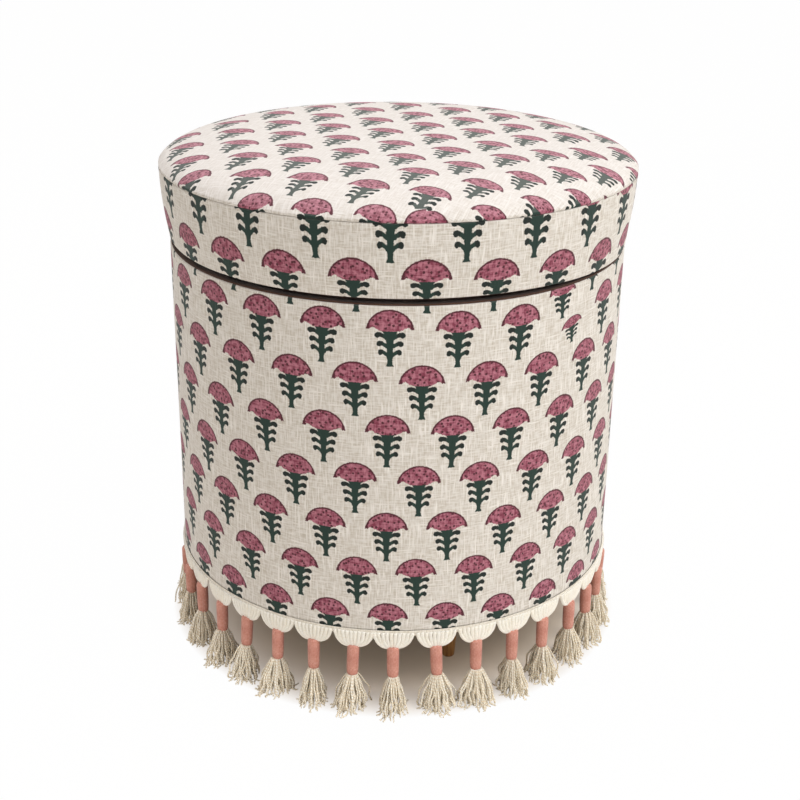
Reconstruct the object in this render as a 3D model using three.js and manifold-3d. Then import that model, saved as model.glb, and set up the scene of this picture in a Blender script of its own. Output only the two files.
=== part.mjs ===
// A round storage tuffet: an upholstered drum on four tapered legs, with a tasselled fringe
// round its foot and a padded lid that lifts off.
// Millimetres, +Z up. The origin is on the floor, under the middle of the drum.
// The fringe is the feature that takes the most skill: a scalloped heading on a folded tape,
// and a bound tassel with a fluted, flaring skirt under the middle of every scallop.

import * as THREE from "three";
import { mergeVertices } from "three/addons/utils/BufferGeometryUtils.js";
import Module from "manifold-3d";

const wasm = await Module();
wasm.setup();

// Driving dimensions of the whole stool
const DRUM_RADIUS = 200; // over the printed cover
const DRUM_TOP = 364; // floor to the top fold of the drum's cover
const LEG_HEIGHT = 75; // floor to the seat of each leg
const LID_HEIGHT = 61; // lower hem to the seam round the top
const LID_FLARE = 6.5; // how much wider the lid is at that seam than at its hem
const LID_CROWN = 17.5; // rise of the padded top above the seam
const SHADOW_GAP = 5; // slot between drum and lid, in which the rim ring shows

// Fits and facets
const CLEARANCE = 0.3; // between pieces that touch
const AROUND = 48; // facets round the drum
const ROUND_SMALL = 14; // facets round a leg or a bolt
const OVERRUN = 5; // how far a cutting tool passes through what it cuts
const WELD = 0.001; // points closer than this are one point

// Cloth and stuffing
const COVER_CLOTH = 1.2;
const DUST_CLOTH = 0.8;
const LINING_CLOTH = 1;
const LINING_BOARD = 1.8; // the lining of the well is cloth on card
const WADDING = 5;

// Woodwork of the drum
const SHELL_WALL = 4;
const PANEL_THICKNESS = 12;
const RIM_WIDTH = 18;
const RIM_DEPTH = 20;
const POST_WIDTH = 34;
const HEM_WIDTH = 22; // cover turned under the drum

// Legs, each under one of the posts
const LEG_COUNT = 4;
const LEG_INSET = 73; // from the drum's side in to the middle of a leg
const LEG_TURN = 24; // degrees from the front to the first leg
const LEG_TOP_RADIUS = 10.5;
const LEG_TIP_RADIUS = 5.5;
const LEG_TIP_ROUND = 1.5;
const BOLT_RADIUS = 4;
const BOLT_LENGTH = 10;

// Lid
const LID_BOARD = 12;
const LID_HEM = 12; // cover turned under the lid
const LOCATOR_WALL = 9;
const LOCATOR_DEPTH = 18;
const LOCATOR_PLAY = 2; // between the locating ring and the well
const FOAM_EDGE_ROUND = 4;
const CROWN_POWER = 6.5; // a higher power gives a flatter top with a steeper edge
const CROWN_STEPS = 7;
const FLARE_STEPS = 5;

// Fringe
const TASSEL_COUNT = 35;
const HEADING_WIDTH = 14; // tape turned under the drum
const HEADING_CLOTH = 1.5;
const SCALLOP_CLOTH = 2.2;
const SCALLOP_DROP = 13.5;
const SCALLOP_NOTCH = 2.5; // depth of the heading between two scallops
const SCALLOP_STEPS = 5;
const WRAP_RADIUS = 5.2;
const WRAP_LENGTH = 29;
const WRAP_BIND = 1; // length over which the wrap's last turns draw in to the neck
const SKIRT_SPREAD = 16.5; // radius of a skirt at its ends
const SKIRT_LIFT = 0.8; // ends above the floor
const SKIRT_FLUTES = 5;
const SKIRT_STEPS = 3;
const FLUTE_SHARE = 0.22; // depth of a flute, as a share of the skirt's radius
const NECK_SHARE = 0.86; // radius where the yarn leaves the wrap, as a share of the wrap's
const HOLLOW_SHARE = 0.25; // how far the skirt is hollow from below, as a share of its length

// Levels of the drum, from the floor up
const dustBottom = LEG_HEIGHT + CLEARANCE;
const dustTop = dustBottom + DUST_CLOTH;
const panelBottom = dustTop + CLEARANCE;
const panelTop = panelBottom + PANEL_THICKNESS;
const coverBottom = panelBottom - CLEARANCE - COVER_CLOTH;
const headingTop = coverBottom - CLEARANCE;
const scallopBottom = headingTop - SCALLOP_DROP;
const shellTop = DRUM_TOP - COVER_CLOTH - CLEARANCE;
const rimTop = DRUM_TOP + SHADOW_GAP;
const rimBottom = rimTop - RIM_DEPTH;

// Radii of the drum's wall, from the outside in
const wadRadius = DRUM_RADIUS - COVER_CLOTH - CLEARANCE;
const shellRadius = wadRadius - WADDING - CLEARANCE;
const shellInside = shellRadius - SHELL_WALL;
const rimRadius = shellInside - CLEARANCE;
const rimInside = rimRadius - RIM_WIDTH;
const liningRadius = rimInside - CLEARANCE;
const wellRadius = liningRadius - LINING_BOARD;
const hemInside = DRUM_RADIUS - HEM_WIDTH;
const legCircle = DRUM_RADIUS - LEG_INSET;

// Levels of the lid, with the lid closed
const lidBottom = rimTop + CLEARANCE;
const boardBottom = lidBottom + Math.max(COVER_CLOTH, LINING_CLOTH) + CLEARANCE;
const boardTop = boardBottom + LID_BOARD;
const seamLevel = lidBottom + LID_HEIGHT;
const seamRadius = DRUM_RADIUS + LID_FLARE;

// Turns a three.js geometry into a manifold-3d solid
function solidOf(geometry) {
  const bare = new THREE.BufferGeometry();
  bare.setAttribute("position", geometry.getAttribute("position"));
  bare.setIndex(geometry.index);
  const merged = mergeVertices(bare, WELD);
  const corners = merged.index.array;
  const kept = [];
  for (let i = 0; i < corners.length; i += 3) {
    const [a, b, c] = corners.slice(i, i + 3);
    if (a !== b && b !== c && c !== a) kept.push(a, b, c);
  }
  return new wasm.Manifold(
    new wasm.Mesh({
      numProp: 3,
      vertProperties: merged.attributes.position.array,
      triVerts: new Uint32Array(kept),
    }),
  );
}

// Turns a manifold-3d solid back into a three.js geometry
function geometryOf(solid) {
  const mesh = solid.getMesh();
  const geometry = new THREE.BufferGeometry();
  geometry.setAttribute("position", new THREE.BufferAttribute(mesh.vertProperties, 3));
  geometry.setIndex(new THREE.BufferAttribute(mesh.triVerts, 1));
  return geometry;
}

// Revolves an outline of [radius, height] points about Z. An outline that starts on the axis
// also ends there; any other closes on itself.
function revolved(outline, facets = AROUND) {
  const points = outline.map(([radius, height]) => new THREE.Vector2(radius, height));
  if (THREE.ShapeUtils.area(points) < 0) points.reverse();
  if (points[0].x > 0) points.push(points[0].clone());
  return new THREE.LatheGeometry(points, facets).rotateX(Math.PI / 2);
}

function ring(outer, inner, bottom, top) {
  return revolved([[inner, bottom], [outer, bottom], [outer, top], [inner, top]]);
}

function disc(radius, bottom, top) {
  return revolved([[0, bottom], [radius, bottom], [radius, top], [0, top]]);
}

// Joins loops of points, each a closed section, into a surface. The sections run along a line
// and are capped at both ends, or run round a circle and meet.
function skinned(sections, meets = false) {
  const across = sections[0].length;
  const points = sections.flat(2);
  const faces = [];
  const spans = meets ? sections.length : sections.length - 1;
  for (let i = 0; i < spans; i++) {
    for (let j = 0; j < across; j++) {
      const next = (i + 1) % sections.length;
      const beside = (j + 1) % across;
      const [a, b] = [i * across + j, i * across + beside];
      const [c, d] = [next * across + j, next * across + beside];
      faces.push(a, b, d, a, d, c);
    }
  }
  return { points, faces, across };
}

function geometryFrom({ points, faces }) {
  const geometry = new THREE.BufferGeometry();
  geometry.setAttribute("position", new THREE.Float32BufferAttribute(points, 3));
  geometry.setIndex(faces);
  geometry.computeVertexNormals();
  return geometry;
}

// Where a leg and the post above it stand, in radians from the front
function legAngle(index) {
  return THREE.MathUtils.degToRad(LEG_TURN) + (index * 2 * Math.PI) / LEG_COUNT;
}

// A point at a radius, an angle from the front (-Y) towards +X, and a height
function around(radius, angle, height) {
  return [radius * Math.sin(angle), -radius * Math.cos(angle), height];
}

function standAt(mesh, radius, angle, height) {
  mesh.position.set(...around(radius, angle, height));
  mesh.rotation.z = angle;
  return mesh;
}

// Materials
function material(color, roughness, metalness = 0) {
  return new THREE.MeshStandardMaterial({ color, roughness, metalness });
}
const printedCloth = material(0xd9cbb5, 0.92);
const creamCotton = material(0xe9dfc8, 0.95);
const calico = material(0xe3dccb, 0.95);
const cambric = material(0x2b2a28, 0.98);
const polyester = material(0xf3f1ec, 1);
const foamRubber = material(0xe9dfae, 0.95);
const hardboard = material(0x8a6a47, 0.7);
const plywood = material(0xc9a878, 0.65);
const stainedWood = material(0x4b3220, 0.5);
const turnedWood = material(0x8d6a40, 0.5);

const tuffet = new THREE.Group();
const drum = new THREE.Group();
const lid = new THREE.Group();
tuffet.add(drum, lid);

function add(group, name, geometry, finish) {
  const mesh = new THREE.Mesh(geometry, finish);
  mesh.name = name;
  group.add(mesh);
  return mesh;
}

// Base panel and dust cloth, each drilled for the leg bolts
function drilled(radius, bottom, top) {
  let solid = solidOf(disc(radius, bottom, top));
  const holeLength = top - bottom + 2 * OVERRUN;
  for (let i = 0; i < LEG_COUNT; i++) {
    const drill = new THREE.CylinderGeometry(
      BOLT_RADIUS + CLEARANCE,
      BOLT_RADIUS + CLEARANCE,
      holeLength,
      ROUND_SMALL,
    );
    drill.rotateX(Math.PI / 2).rotateZ(legAngle(i));
    drill.translate(...around(legCircle, legAngle(i), (top + bottom) / 2));
    solid = solid.subtract(solidOf(drill));
  }
  return geometryOf(solid);
}

function buildBase() {
  add(drum, "base_panel", drilled(rimRadius, panelBottom, panelTop), plywood);
  add(drum, "dust_cover", drilled(hemInside - CLEARANCE, dustBottom, dustTop), cambric);
}

// Shell, wadding, rim ring and posts
function buildFrame() {
  add(drum, "drum_shell", ring(shellRadius, shellInside, panelBottom, shellTop), hardboard);
  add(drum, "drum_wadding", ring(wadRadius, shellRadius + CLEARANCE, panelBottom, shellTop), polyester);
  add(drum, "rim_ring", ring(rimRadius, rimInside, rimBottom, rimTop), stainedWood);

  // A post is as deep as the wall leaves room for between lining and shell
  const flats = Math.cos(Math.PI / AROUND);
  const outerFace = Math.sqrt((rimRadius * flats) ** 2 - (POST_WIDTH / 2) ** 2);
  const depth = outerFace - rimInside;
  const height = rimBottom - panelTop - 2 * CLEARANCE;
  for (let i = 0; i < LEG_COUNT; i++) {
    const block = new THREE.BoxGeometry(POST_WIDTH, depth, height);
    const post = add(drum, `post_${i + 1}`, block, plywood);
    standAt(post, rimInside + depth / 2, legAngle(i), panelTop + CLEARANCE + height / 2);
  }
}

// The printed cover is one tube of cloth, turned in over the wall and under the base
function buildCover() {
  const lip = rimRadius + CLEARANCE;
  const inside = DRUM_RADIUS - COVER_CLOTH;
  const outline = [
    [hemInside, coverBottom],
    [DRUM_RADIUS, coverBottom],
    [DRUM_RADIUS, DRUM_TOP],
    [lip, DRUM_TOP],
    [lip, DRUM_TOP - COVER_CLOTH],
    [inside, DRUM_TOP - COVER_CLOTH],
    [inside, coverBottom + COVER_CLOTH],
    [hemInside, coverBottom + COVER_CLOTH],
  ];
  add(drum, "drum_cover", revolved(outline), printedCloth);
}

// The lining of the well is a cup that stands on the base panel
function buildLining() {
  const floor = panelTop + CLEARANCE;
  const brim = rimTop - CLEARANCE;
  const outline = [
    [0, floor],
    [liningRadius, floor],
    [liningRadius, brim],
    [wellRadius, brim],
    [wellRadius, floor + LINING_BOARD],
    [0, floor + LINING_BOARD],
  ];
  add(drum, "well_lining", revolved(outline), calico);
}

// A leg tapers to a small rounded foot and carries its bolt
function legOutline() {
  const round = Math.min(LEG_TIP_ROUND, LEG_TIP_RADIUS / 2);
  return [
    [0, 0],
    [LEG_TIP_RADIUS - round, 0],
    [LEG_TIP_RADIUS, round],
    [LEG_TOP_RADIUS, LEG_HEIGHT],
    [BOLT_RADIUS, LEG_HEIGHT],
    [BOLT_RADIUS, LEG_HEIGHT + BOLT_LENGTH],
    [0, LEG_HEIGHT + BOLT_LENGTH],
  ];
}

function buildLegs() {
  for (let i = 0; i < LEG_COUNT; i++) {
    const leg = add(drum, `leg_${i + 1}`, revolved(legOutline(), ROUND_SMALL), turnedWood);
    standAt(leg, legCircle, legAngle(i), 0);
  }
}

// The heading of the fringe: a tape folded under the drum, from which scallops hang
function headingSection(angle, drop) {
  const outer = DRUM_RADIUS;
  const inner = outer - SCALLOP_CLOTH;
  const tapeInside = outer - HEADING_WIDTH;
  const tapeBottom = headingTop - HEADING_CLOTH;
  return [
    [outer, headingTop],
    [outer, headingTop - drop],
    [inner, headingTop - drop],
    [inner, tapeBottom],
    [tapeInside, tapeBottom],
    [tapeInside, headingTop],
  ].map(([radius, height]) => around(radius, angle, height));
}

function buildHeading() {
  const pitch = (2 * Math.PI) / TASSEL_COUNT;
  const sections = [];
  for (let i = 0; i < TASSEL_COUNT; i++) {
    for (let k = 0; k < SCALLOP_STEPS; k++) {
      const turn = (Math.PI * k) / SCALLOP_STEPS;
      const drop = SCALLOP_NOTCH + (SCALLOP_DROP - SCALLOP_NOTCH) * Math.sin(turn);
      const angle = pitch * (i - Math.cos(turn) / 2);
      sections.push(headingSection(angle, drop));
    }
  }
  add(drum, "fringe_heading", geometryFrom(skinned(sections, true)), creamCotton);
}

// A tassel hangs from z = 0: a bound neck, then a skirt whose flutes deepen as it spreads
function tasselSection(radius, depth, height) {
  const corners = 2 * SKIRT_FLUTES;
  const section = [];
  for (let j = 0; j < corners; j++) {
    const turn = (2 * Math.PI * j) / corners;
    const reach = j % 2 ? radius * (1 - depth) : radius;
    section.push([reach * Math.cos(turn), reach * Math.sin(turn), height]);
  }
  return section;
}

function tasselGeometry() {
  const neck = NECK_SHARE * WRAP_RADIUS;
  const skirtTop = -WRAP_LENGTH;
  const skirtLength = scallopBottom - CLEARANCE - WRAP_LENGTH - SKIRT_LIFT;
  const sections = [
    tasselSection(WRAP_RADIUS, 0, 0),
    tasselSection(WRAP_RADIUS, 0, skirtTop + WRAP_BIND),
    tasselSection(neck, 0, skirtTop),
  ];
  for (let k = 1; k <= SKIRT_STEPS; k++) {
    const share = k / SKIRT_STEPS;
    const radius = neck + (SKIRT_SPREAD - neck) * Math.sqrt(share);
    sections.push(tasselSection(radius, FLUTE_SHARE * share, skirtTop - skirtLength * share));
  }
  const surface = skinned(sections.reverse());
  const last = surface.points.length / 3;
  const firstOfTop = last - surface.across;
  const hollow = skirtTop - skirtLength * (1 - HOLLOW_SHARE);
  surface.points.push(0, 0, hollow, 0, 0, 0);
  for (let j = 0; j < surface.across; j++) {
    const beside = (j + 1) % surface.across;
    surface.faces.push(last, beside, j);
    surface.faces.push(last + 1, firstOfTop + j, firstOfTop + beside);
  }
  return geometryFrom(surface);
}

function buildTassels() {
  const middle = DRUM_RADIUS - SCALLOP_CLOTH / 2;
  for (let i = 0; i < TASSEL_COUNT; i++) {
    const name = `tassel_${String(i + 1).padStart(2, "0")}`;
    const tassel = add(drum, name, tasselGeometry(), creamCotton);
    standAt(tassel, middle, (2 * Math.PI * i) / TASSEL_COUNT, scallopBottom - CLEARANCE);
  }
}

// Height of the padded top above the seam, at a share of the way from the middle to the seam
function crownRise(share, crown) {
  return crown * Math.sqrt(1 - share ** CROWN_POWER);
}

// Radius of the lid's side at a share of the way from hem to seam: drawn in at the hem
function sideRadius(share) {
  return DRUM_RADIUS + LID_FLARE * Math.sin((share * Math.PI) / 2);
}

// Points of the lid's skin, set in by an inset: the side from a level up, then the crown
function sidePoints(inset, from, to, steps) {
  const points = [];
  for (let k = 0; k <= steps; k++) {
    const level = from + ((to - from) * k) / steps;
    points.push([sideRadius((level - lidBottom) / LID_HEIGHT) - inset, level]);
  }
  return points;
}

function crownPoints(edge, seat, steps) {
  const points = [];
  for (let k = 0; k <= steps; k++) {
    // closer together at the edge, where the crown is steep
    const share = Math.sin(((1 - k / steps) * Math.PI) / 2);
    points.push([edge * share, seat + crownRise(share, LID_CROWN)]);
  }
  return points;
}

function buildLid() {
  const boardRadius = DRUM_RADIUS - COVER_CLOTH - CLEARANCE;
  const hemRadius = DRUM_RADIUS - LID_HEM;
  const plugRadius = wellRadius - LOCATOR_PLAY;
  const plugTop = lidBottom - CLEARANCE;
  add(lid, "lid_board", disc(boardRadius, boardBottom, boardTop), plywood);
  add(lid, "lid_lining", disc(hemRadius - CLEARANCE, lidBottom, lidBottom + LINING_CLOTH), calico);
  add(
    lid,
    "locating_ring",
    ring(plugRadius, plugRadius - LOCATOR_WALL, plugTop - LOCATOR_DEPTH, plugTop),
    stainedWood,
  );

  // Foam pad, under the cloth and above the board
  const inset = COVER_CLOTH + CLEARANCE;
  const foamBottom = boardTop + CLEARANCE;
  const foamEdge = seamLevel - FOAM_EDGE_ROUND;
  const foam = [
    [0, foamBottom],
    ...sidePoints(inset, foamBottom, foamEdge, FLARE_STEPS),
    ...crownPoints(seamRadius - inset - FOAM_EDGE_ROUND, seamLevel, CROWN_STEPS),
  ];
  add(lid, "foam_pad", revolved(foam), foamRubber);

  // Boxing: the band round the side, with its hem turned under the board
  const boxing = [
    [hemRadius, lidBottom],
    ...sidePoints(0, lidBottom, seamLevel, FLARE_STEPS),
    ...sidePoints(COVER_CLOTH, lidBottom + COVER_CLOTH, seamLevel, FLARE_STEPS).reverse(),
    [hemRadius, lidBottom + COVER_CLOTH],
  ];
  add(lid, "lid_boxing", revolved(boxing), printedCloth);

  // Top panel: a disc of cloth drawn over the crown and sewn to the boxing at the seam
  const seat = seamLevel + CLEARANCE;
  const top = [
    ...crownPoints(seamRadius, seat, CROWN_STEPS).reverse(),
    ...crownPoints(seamRadius, seat + COVER_CLOTH, CROWN_STEPS),
  ];
  add(lid, "lid_top_panel", revolved(top), printedCloth);
}

buildBase();
buildFrame();
buildCover();
buildLining();
buildLegs();
buildHeading();
buildTassels();
buildLid();

export default tuffet;
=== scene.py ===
# %% [markdown]
# A round storage tuffet: a drum covered in block-printed cloth, a padded lid of the same cloth
# that lifts off, and a fringe of cream tassels with coral necks round the foot.
# The measured model of the stool is loaded first. Everything here is dressed round it, so each
# piece takes its size and its place from the piece of that model that it stands for.

# %% Load the measured model
import math

import bpy
import numpy as np
from mathutils import Matrix, Vector


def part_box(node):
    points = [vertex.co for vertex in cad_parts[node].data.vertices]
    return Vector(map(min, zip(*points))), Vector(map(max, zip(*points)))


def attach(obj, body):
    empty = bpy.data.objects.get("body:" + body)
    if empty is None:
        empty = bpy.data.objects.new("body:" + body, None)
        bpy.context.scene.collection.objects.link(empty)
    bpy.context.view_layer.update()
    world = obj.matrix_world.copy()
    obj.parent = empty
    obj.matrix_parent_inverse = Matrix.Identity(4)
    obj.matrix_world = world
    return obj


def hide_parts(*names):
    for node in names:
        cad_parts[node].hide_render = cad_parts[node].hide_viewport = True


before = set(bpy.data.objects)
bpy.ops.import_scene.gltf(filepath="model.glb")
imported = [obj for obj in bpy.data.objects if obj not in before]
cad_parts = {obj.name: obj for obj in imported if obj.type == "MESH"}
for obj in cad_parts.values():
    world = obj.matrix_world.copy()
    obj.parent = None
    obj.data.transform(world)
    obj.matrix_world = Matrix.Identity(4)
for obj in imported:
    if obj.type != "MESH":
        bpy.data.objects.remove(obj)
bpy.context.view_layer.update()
scene = bpy.context.scene
MM = 0.001  # every size below is in millimetres, and the scene is in metres

# %% [markdown]
# The photograph was taken from in front and a little above, with a fairly long lens. Its place
# was found by fitting the round edges of the lid, the drum and the fringe, at the model's own
# sizes, to their outlines in the picture. The small roll is in the photograph too.

# %% The camera
CAMERA_ASIDE = 4.25
CAMERA_BACK = 1210
CAMERA_HEIGHT = 713.3
CAMERA_PITCH = 22.89  # degrees down from level
CAMERA_ROLL = 0.84  # degrees
LENS = 63.23

camera_data = bpy.data.cameras.new("camera")
camera_data.lens = LENS
camera_data.sensor_width = 36
camera_data.clip_start = 0.05
camera = bpy.data.objects.new("camera", camera_data)
scene.collection.objects.link(camera)
camera.matrix_world = (
    Matrix.Translation(Vector((CAMERA_ASIDE, -CAMERA_BACK, CAMERA_HEIGHT)) * MM)
    @ Matrix.Rotation(math.radians(90 - CAMERA_PITCH), 4, "X")
    @ Matrix.Rotation(math.radians(CAMERA_ROLL), 4, "Z")
)
scene.camera = camera
scene.view_settings.view_transform = "Standard"
print("camera at", tuple(round(x, 3) for x in camera.location))

# %% [markdown]
# Colours are written as the sRGB values that a designer would read off a screen. Blender works
# in linear light, so one function converts them. Materials are built from nodes, and one more
# function adds a node, sets its options and links its inputs in a single line.

# %% Colours and nodes


def colour(code):
    """An sRGB hex colour as linear red, green and blue, with alpha 1."""
    parts = [int(code[i : i + 2], 16) / 255 for i in (1, 3, 5)]
    return (*[c / 12.92 if c <= 0.04045 else ((c + 0.055) / 1.055) ** 2.4 for c in parts], 1.0)


def add(tree, kind, inputs=None, **settings):
    """Adds a node. inputs maps a socket's name or number to a value, a node or a node's output."""
    made = tree.nodes.new("ShaderNode" + kind)
    for name, value in settings.items():
        setattr(made, name, value)
    for name, value in (inputs or {}).items():
        if isinstance(value, bpy.types.Node):
            value = value.outputs[0]
        if isinstance(value, bpy.types.NodeSocket):
            tree.links.new(value, made.inputs[name])
        else:
            made.inputs[name].default_value = value
    return made


def new_material(name, **constants):
    """A material with one Principled shader, whose constant sockets are set by name."""
    made = bpy.data.materials.new(name)
    made.use_nodes = True
    tree = made.node_tree
    tree.nodes.clear()
    shader = add(tree, "BsdfPrincipled", {k.replace("_", " "): v for k, v in constants.items()})
    add(tree, "OutputMaterial", {"Surface": shader})
    return made, tree, shader


print("white is", colour("#ffffff"))

# %% [markdown]
# The printed cloth is a plain weave of slubby linen. The print is a common block-print sprig:
# a fan-shaped flower head on a stem with three pairs of drooping leaves, set out in a
# half-drop repeat. It could be painted on an image, but a drawing made of sums keeps a sharp
# edge at any size. Each sum below is a distance in millimetres that is above zero where there
# is ink, so two shapes join with a maximum and cut each other with a minimum.

# %% Sizes of the sprig, in millimetres
PITCH = 51.4  # between two sprigs in a row
ROW = 43.0  # between two rows; every other row is moved by half a pitch
HEAD_RADIUS = 18.0  # the flower head is part of a circle
HEAD_SINK = 3.4  # the circle's middle lies this far below the head's corners
HEAD_RISE = HEAD_RADIUS - HEAD_SINK
STEM_FOOT = 31.0  # the foot of the stem below the head's corners
LEAF_STEP = 6.9  # between two pairs of leaves
FIRST_LEAF = 5.6  # the first pair below the head's corners
LEAF_REACH = 9.4  # from the stem's middle to the middle of a leaf's round tip
HAND_SHIFT = 1.4  # how far the printer's hand misses
LOW_CENTRE = (STEM_FOOT - HEAD_RISE) / 2  # from the head's corners down to the middle
HEAD_MIDDLE = LOW_CENTRE + 0.4 * HEAD_RISE  # from the middle up to the middle of the head

print("a sprig is", 2 * HEAD_RADIUS, "mm wide and", HEAD_RISE + STEM_FOOT, "mm tall")

# %% [markdown]
# The sums are written as a table, which is shorter than a line of code for each and easier to
# change. Each row is a name, an operation and what goes in: numbers, or the names of rows
# above. "u" and "v" are mm across and up the flat cloth, and "rag" is a noise of its threads.

# %% Sums: the place within a cell, and the flower head
PLACE_SUMS = [
    ("across", "DIVIDE", "u", PITCH),
    ("column", "ROUND", "across", 0),
    ("x_cell", "SUBTRACT", "across", "column"),
    ("up", "DIVIDE", "v", 2 * ROW),
    ("row", "ROUND", "up", 0),
    ("y_cell", "SUBTRACT", "up", "row"),
    ("x_home", "MULTIPLY", "x_cell", PITCH),
    ("y_home", "MULTIPLY_ADD", "y_cell", 2 * ROW, -LOW_CENTRE),
]
HEAD_SUMS = [
    # every sprig is moved and tilted a little differently, as by hand
    ("x_lot", "SUBTRACT", "lot_1", 0.5),
    ("y_lot", "SUBTRACT", "lot_2", 0.5),
    ("lean", "SUBTRACT", "lot_3", 0.5),
    ("x_moved", "MULTIPLY_ADD", "x_lot", HAND_SHIFT, "x_home"),
    ("y", "MULTIPLY_ADD", "y_lot", HAND_SHIFT, "y_home"),
    ("leant", "MULTIPLY", "lean", "y"),
    ("x", "MULTIPLY_ADD", "leant", 0.07, "x_moved"),
    ("half", "ABSOLUTE", "x", 0),
    # the head is part of a circle; its lower edge hangs in the middle and at both corners
    ("from_mid", "ADD", "y", HEAD_SINK),
    ("from_mid2", "MULTIPLY", "from_mid", "from_mid"),
    ("far2", "MULTIPLY_ADD", "x", "x", "from_mid2"),
    ("far", "SQRT", "far2", 0),
    ("dome", "SUBTRACT", HEAD_RADIUS, "far"),
    ("mid_raw", "MULTIPLY", "half", 1 / 12.5),
    ("mid", "MINIMUM", "mid_raw", 1),
    ("mid2", "MULTIPLY", "mid", "mid"),
    ("mid_low", "MULTIPLY_ADD", "mid2", 3.9, -3.5),
    ("tip_raw", "MULTIPLY_ADD", "half", 1.1, -15.6),
    ("tip_out", "MAXIMUM", "tip_raw", 0),
    ("tip", "MINIMUM", "tip_out", 1.5),
    ("low", "SUBTRACT", "mid_low", "tip"),
    ("over", "SUBTRACT", "y", "low"),
    ("torn", "MULTIPLY_ADD", "rag", 2.0, "over"),
    ("head", "MINIMUM", "dome", "torn"),
]
print("sums for the place and the head:", len(PLACE_SUMS), len(HEAD_SUMS))

# %% Sums: the stem and its leaves
GREEN_SUMS = [
    # the stem opens in a V under the head, narrows downwards and has a small foot
    ("down", "MULTIPLY", "y", -1),
    ("vee_raw", "MULTIPLY_ADD", "down", -0.6, 3.9),
    ("vee", "MAXIMUM", "vee_raw", 0),
    ("taper_raw", "MULTIPLY_ADD", "down", 0.075, -0.45),
    ("taper_pos", "MAXIMUM", "taper_raw", 0),
    ("taper", "MINIMUM", "taper_pos", 1.3),
    ("foot_raw", "MULTIPLY_ADD", "down", 0.4, -11.3),
    ("foot", "MAXIMUM", "foot_raw", 0),
    ("flare", "ADD", "vee", "foot"),
    ("wide", "SUBTRACT", "flare", "taper"),
    ("wide_in", "SUBTRACT", "wide", "half"),
    ("side", "ADD", "wide_in", 3.2),
    ("under", "SUBTRACT", "down", 2.6),
    ("until", "SUBTRACT", STEM_FOOT, "down"),
    ("ends", "MINIMUM", "under", "until"),
    ("stem", "MINIMUM", "side", "ends"),
    # three pairs of leaves share one drawing, which is repeated down the stem
    ("leaf_raw", "MULTIPLY_ADD", "down", 1 / LEAF_STEP, -FIRST_LEAF / LEAF_STEP - 0.04),
    ("leaf_near", "ROUND", "leaf_raw", 0),
    ("leaf_from", "MAXIMUM", "leaf_near", 0),
    ("leaf_at", "MINIMUM", "leaf_from", 2),
    ("leaf_down", "MULTIPLY_ADD", "leaf_at", -LEAF_STEP, "down"),
    ("leaf_y", "SUBTRACT", FIRST_LEAF, "leaf_down"),
    ("shorter", "MULTIPLY_ADD", "leaf_at", 0.15, 1),
    ("leaf_x", "MULTIPLY", "half", "shorter"),
    # a leaf is a bent arm that rises from the stem and ends in a ball
    ("along", "MINIMUM", "leaf_x", LEAF_REACH),
    ("from_ball", "SUBTRACT", "along", 8.8),
    ("bow", "MULTIPLY", "from_ball", "from_ball"),
    ("spine", "MULTIPLY_ADD", "bow", -0.085, 0.45),
    ("off_y", "SUBTRACT", "leaf_y", "spine"),
    ("off_far", "ABSOLUTE", "off_y", 0),
    ("arm_side", "SUBTRACT", 1.75, "off_far"),
    ("arm_end", "SUBTRACT", LEAF_REACH, "leaf_x"),
    ("arm", "MINIMUM", "arm_side", "arm_end"),
    ("ball_x", "SUBTRACT", "leaf_x", LEAF_REACH),
    ("ball_x2", "MULTIPLY", "ball_x", "ball_x"),
    ("ball_y", "ADD", "leaf_y", 0.1),
    ("ball_far2", "MULTIPLY_ADD", "ball_y", "ball_y", "ball_x2"),
    ("ball_far", "SQRT", "ball_far2", 0),
    ("ball", "SUBTRACT", 2.15, "ball_far"),
    ("leaf", "SMOOTH_MAX", "arm", "ball", 0.8),
    ("green", "SMOOTH_MAX", "stem", "leaf", 2.4),
]
print("sums for the stem and leaves:", len(GREEN_SUMS))

# %% Sums: the dark block
OUTLINE = 0.65  # half of the width of the line round the head
SEED = 1.0  # radius of a dark seed
DARK_SUMS = [
    # the dark block prints the head's outline, its corners and seeds, and the leaves' tips
    ("rim_off", "SUBTRACT", "dome", OUTLINE),
    ("rim_far", "ABSOLUTE", "rim_off", 0),
    ("rim", "SUBTRACT", OUTLINE, "rim_far"),
    ("corner", "SUBTRACT", "half", 15.1),
    ("seed", "SUBTRACT", SEED, "seed_far"),
    ("rim_corner", "MAXIMUM", "rim", "corner"),
    ("dark_all", "MAXIMUM", "rim_corner", "seed"),
    ("dark", "MINIMUM", "dark_all", "head"),
    ("outer", "SUBTRACT", "half", 5.4),
    ("leaf_tip", "MINIMUM", "outer", "green"),
]
print("sums for the dark block:", len(DARK_SUMS))

# %% [markdown]
# The table now becomes nodes. They go into a node group, because the print needs them twice.
# White noise gives each cell of the lattice its own chance numbers, and the seeds of a head
# are the centres of a cell pattern.

# %% One lattice of sprigs as a node group
SEED_SPACING = 4.7  # mm between the dark seeds in a head

sprigs = bpy.data.node_groups.new("sprigs", "ShaderNodeTree")
for socket in ("U", "V", "Rag"):
    sprigs.interface.new_socket(socket, in_out="INPUT", socket_type="NodeSocketFloat")
inks = {"Head": "head", "Dark": "dark", "Green": "green", "Tip": "leaf_tip"}
for socket in inks:
    sprigs.interface.new_socket(socket, in_out="OUTPUT", socket_type="NodeSocketFloat")
given = sprigs.nodes.new("NodeGroupInput")
taken = sprigs.nodes.new("NodeGroupOutput")

sums = {"u": given.outputs["U"], "v": given.outputs["V"], "rag": given.outputs["Rag"]}


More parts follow.
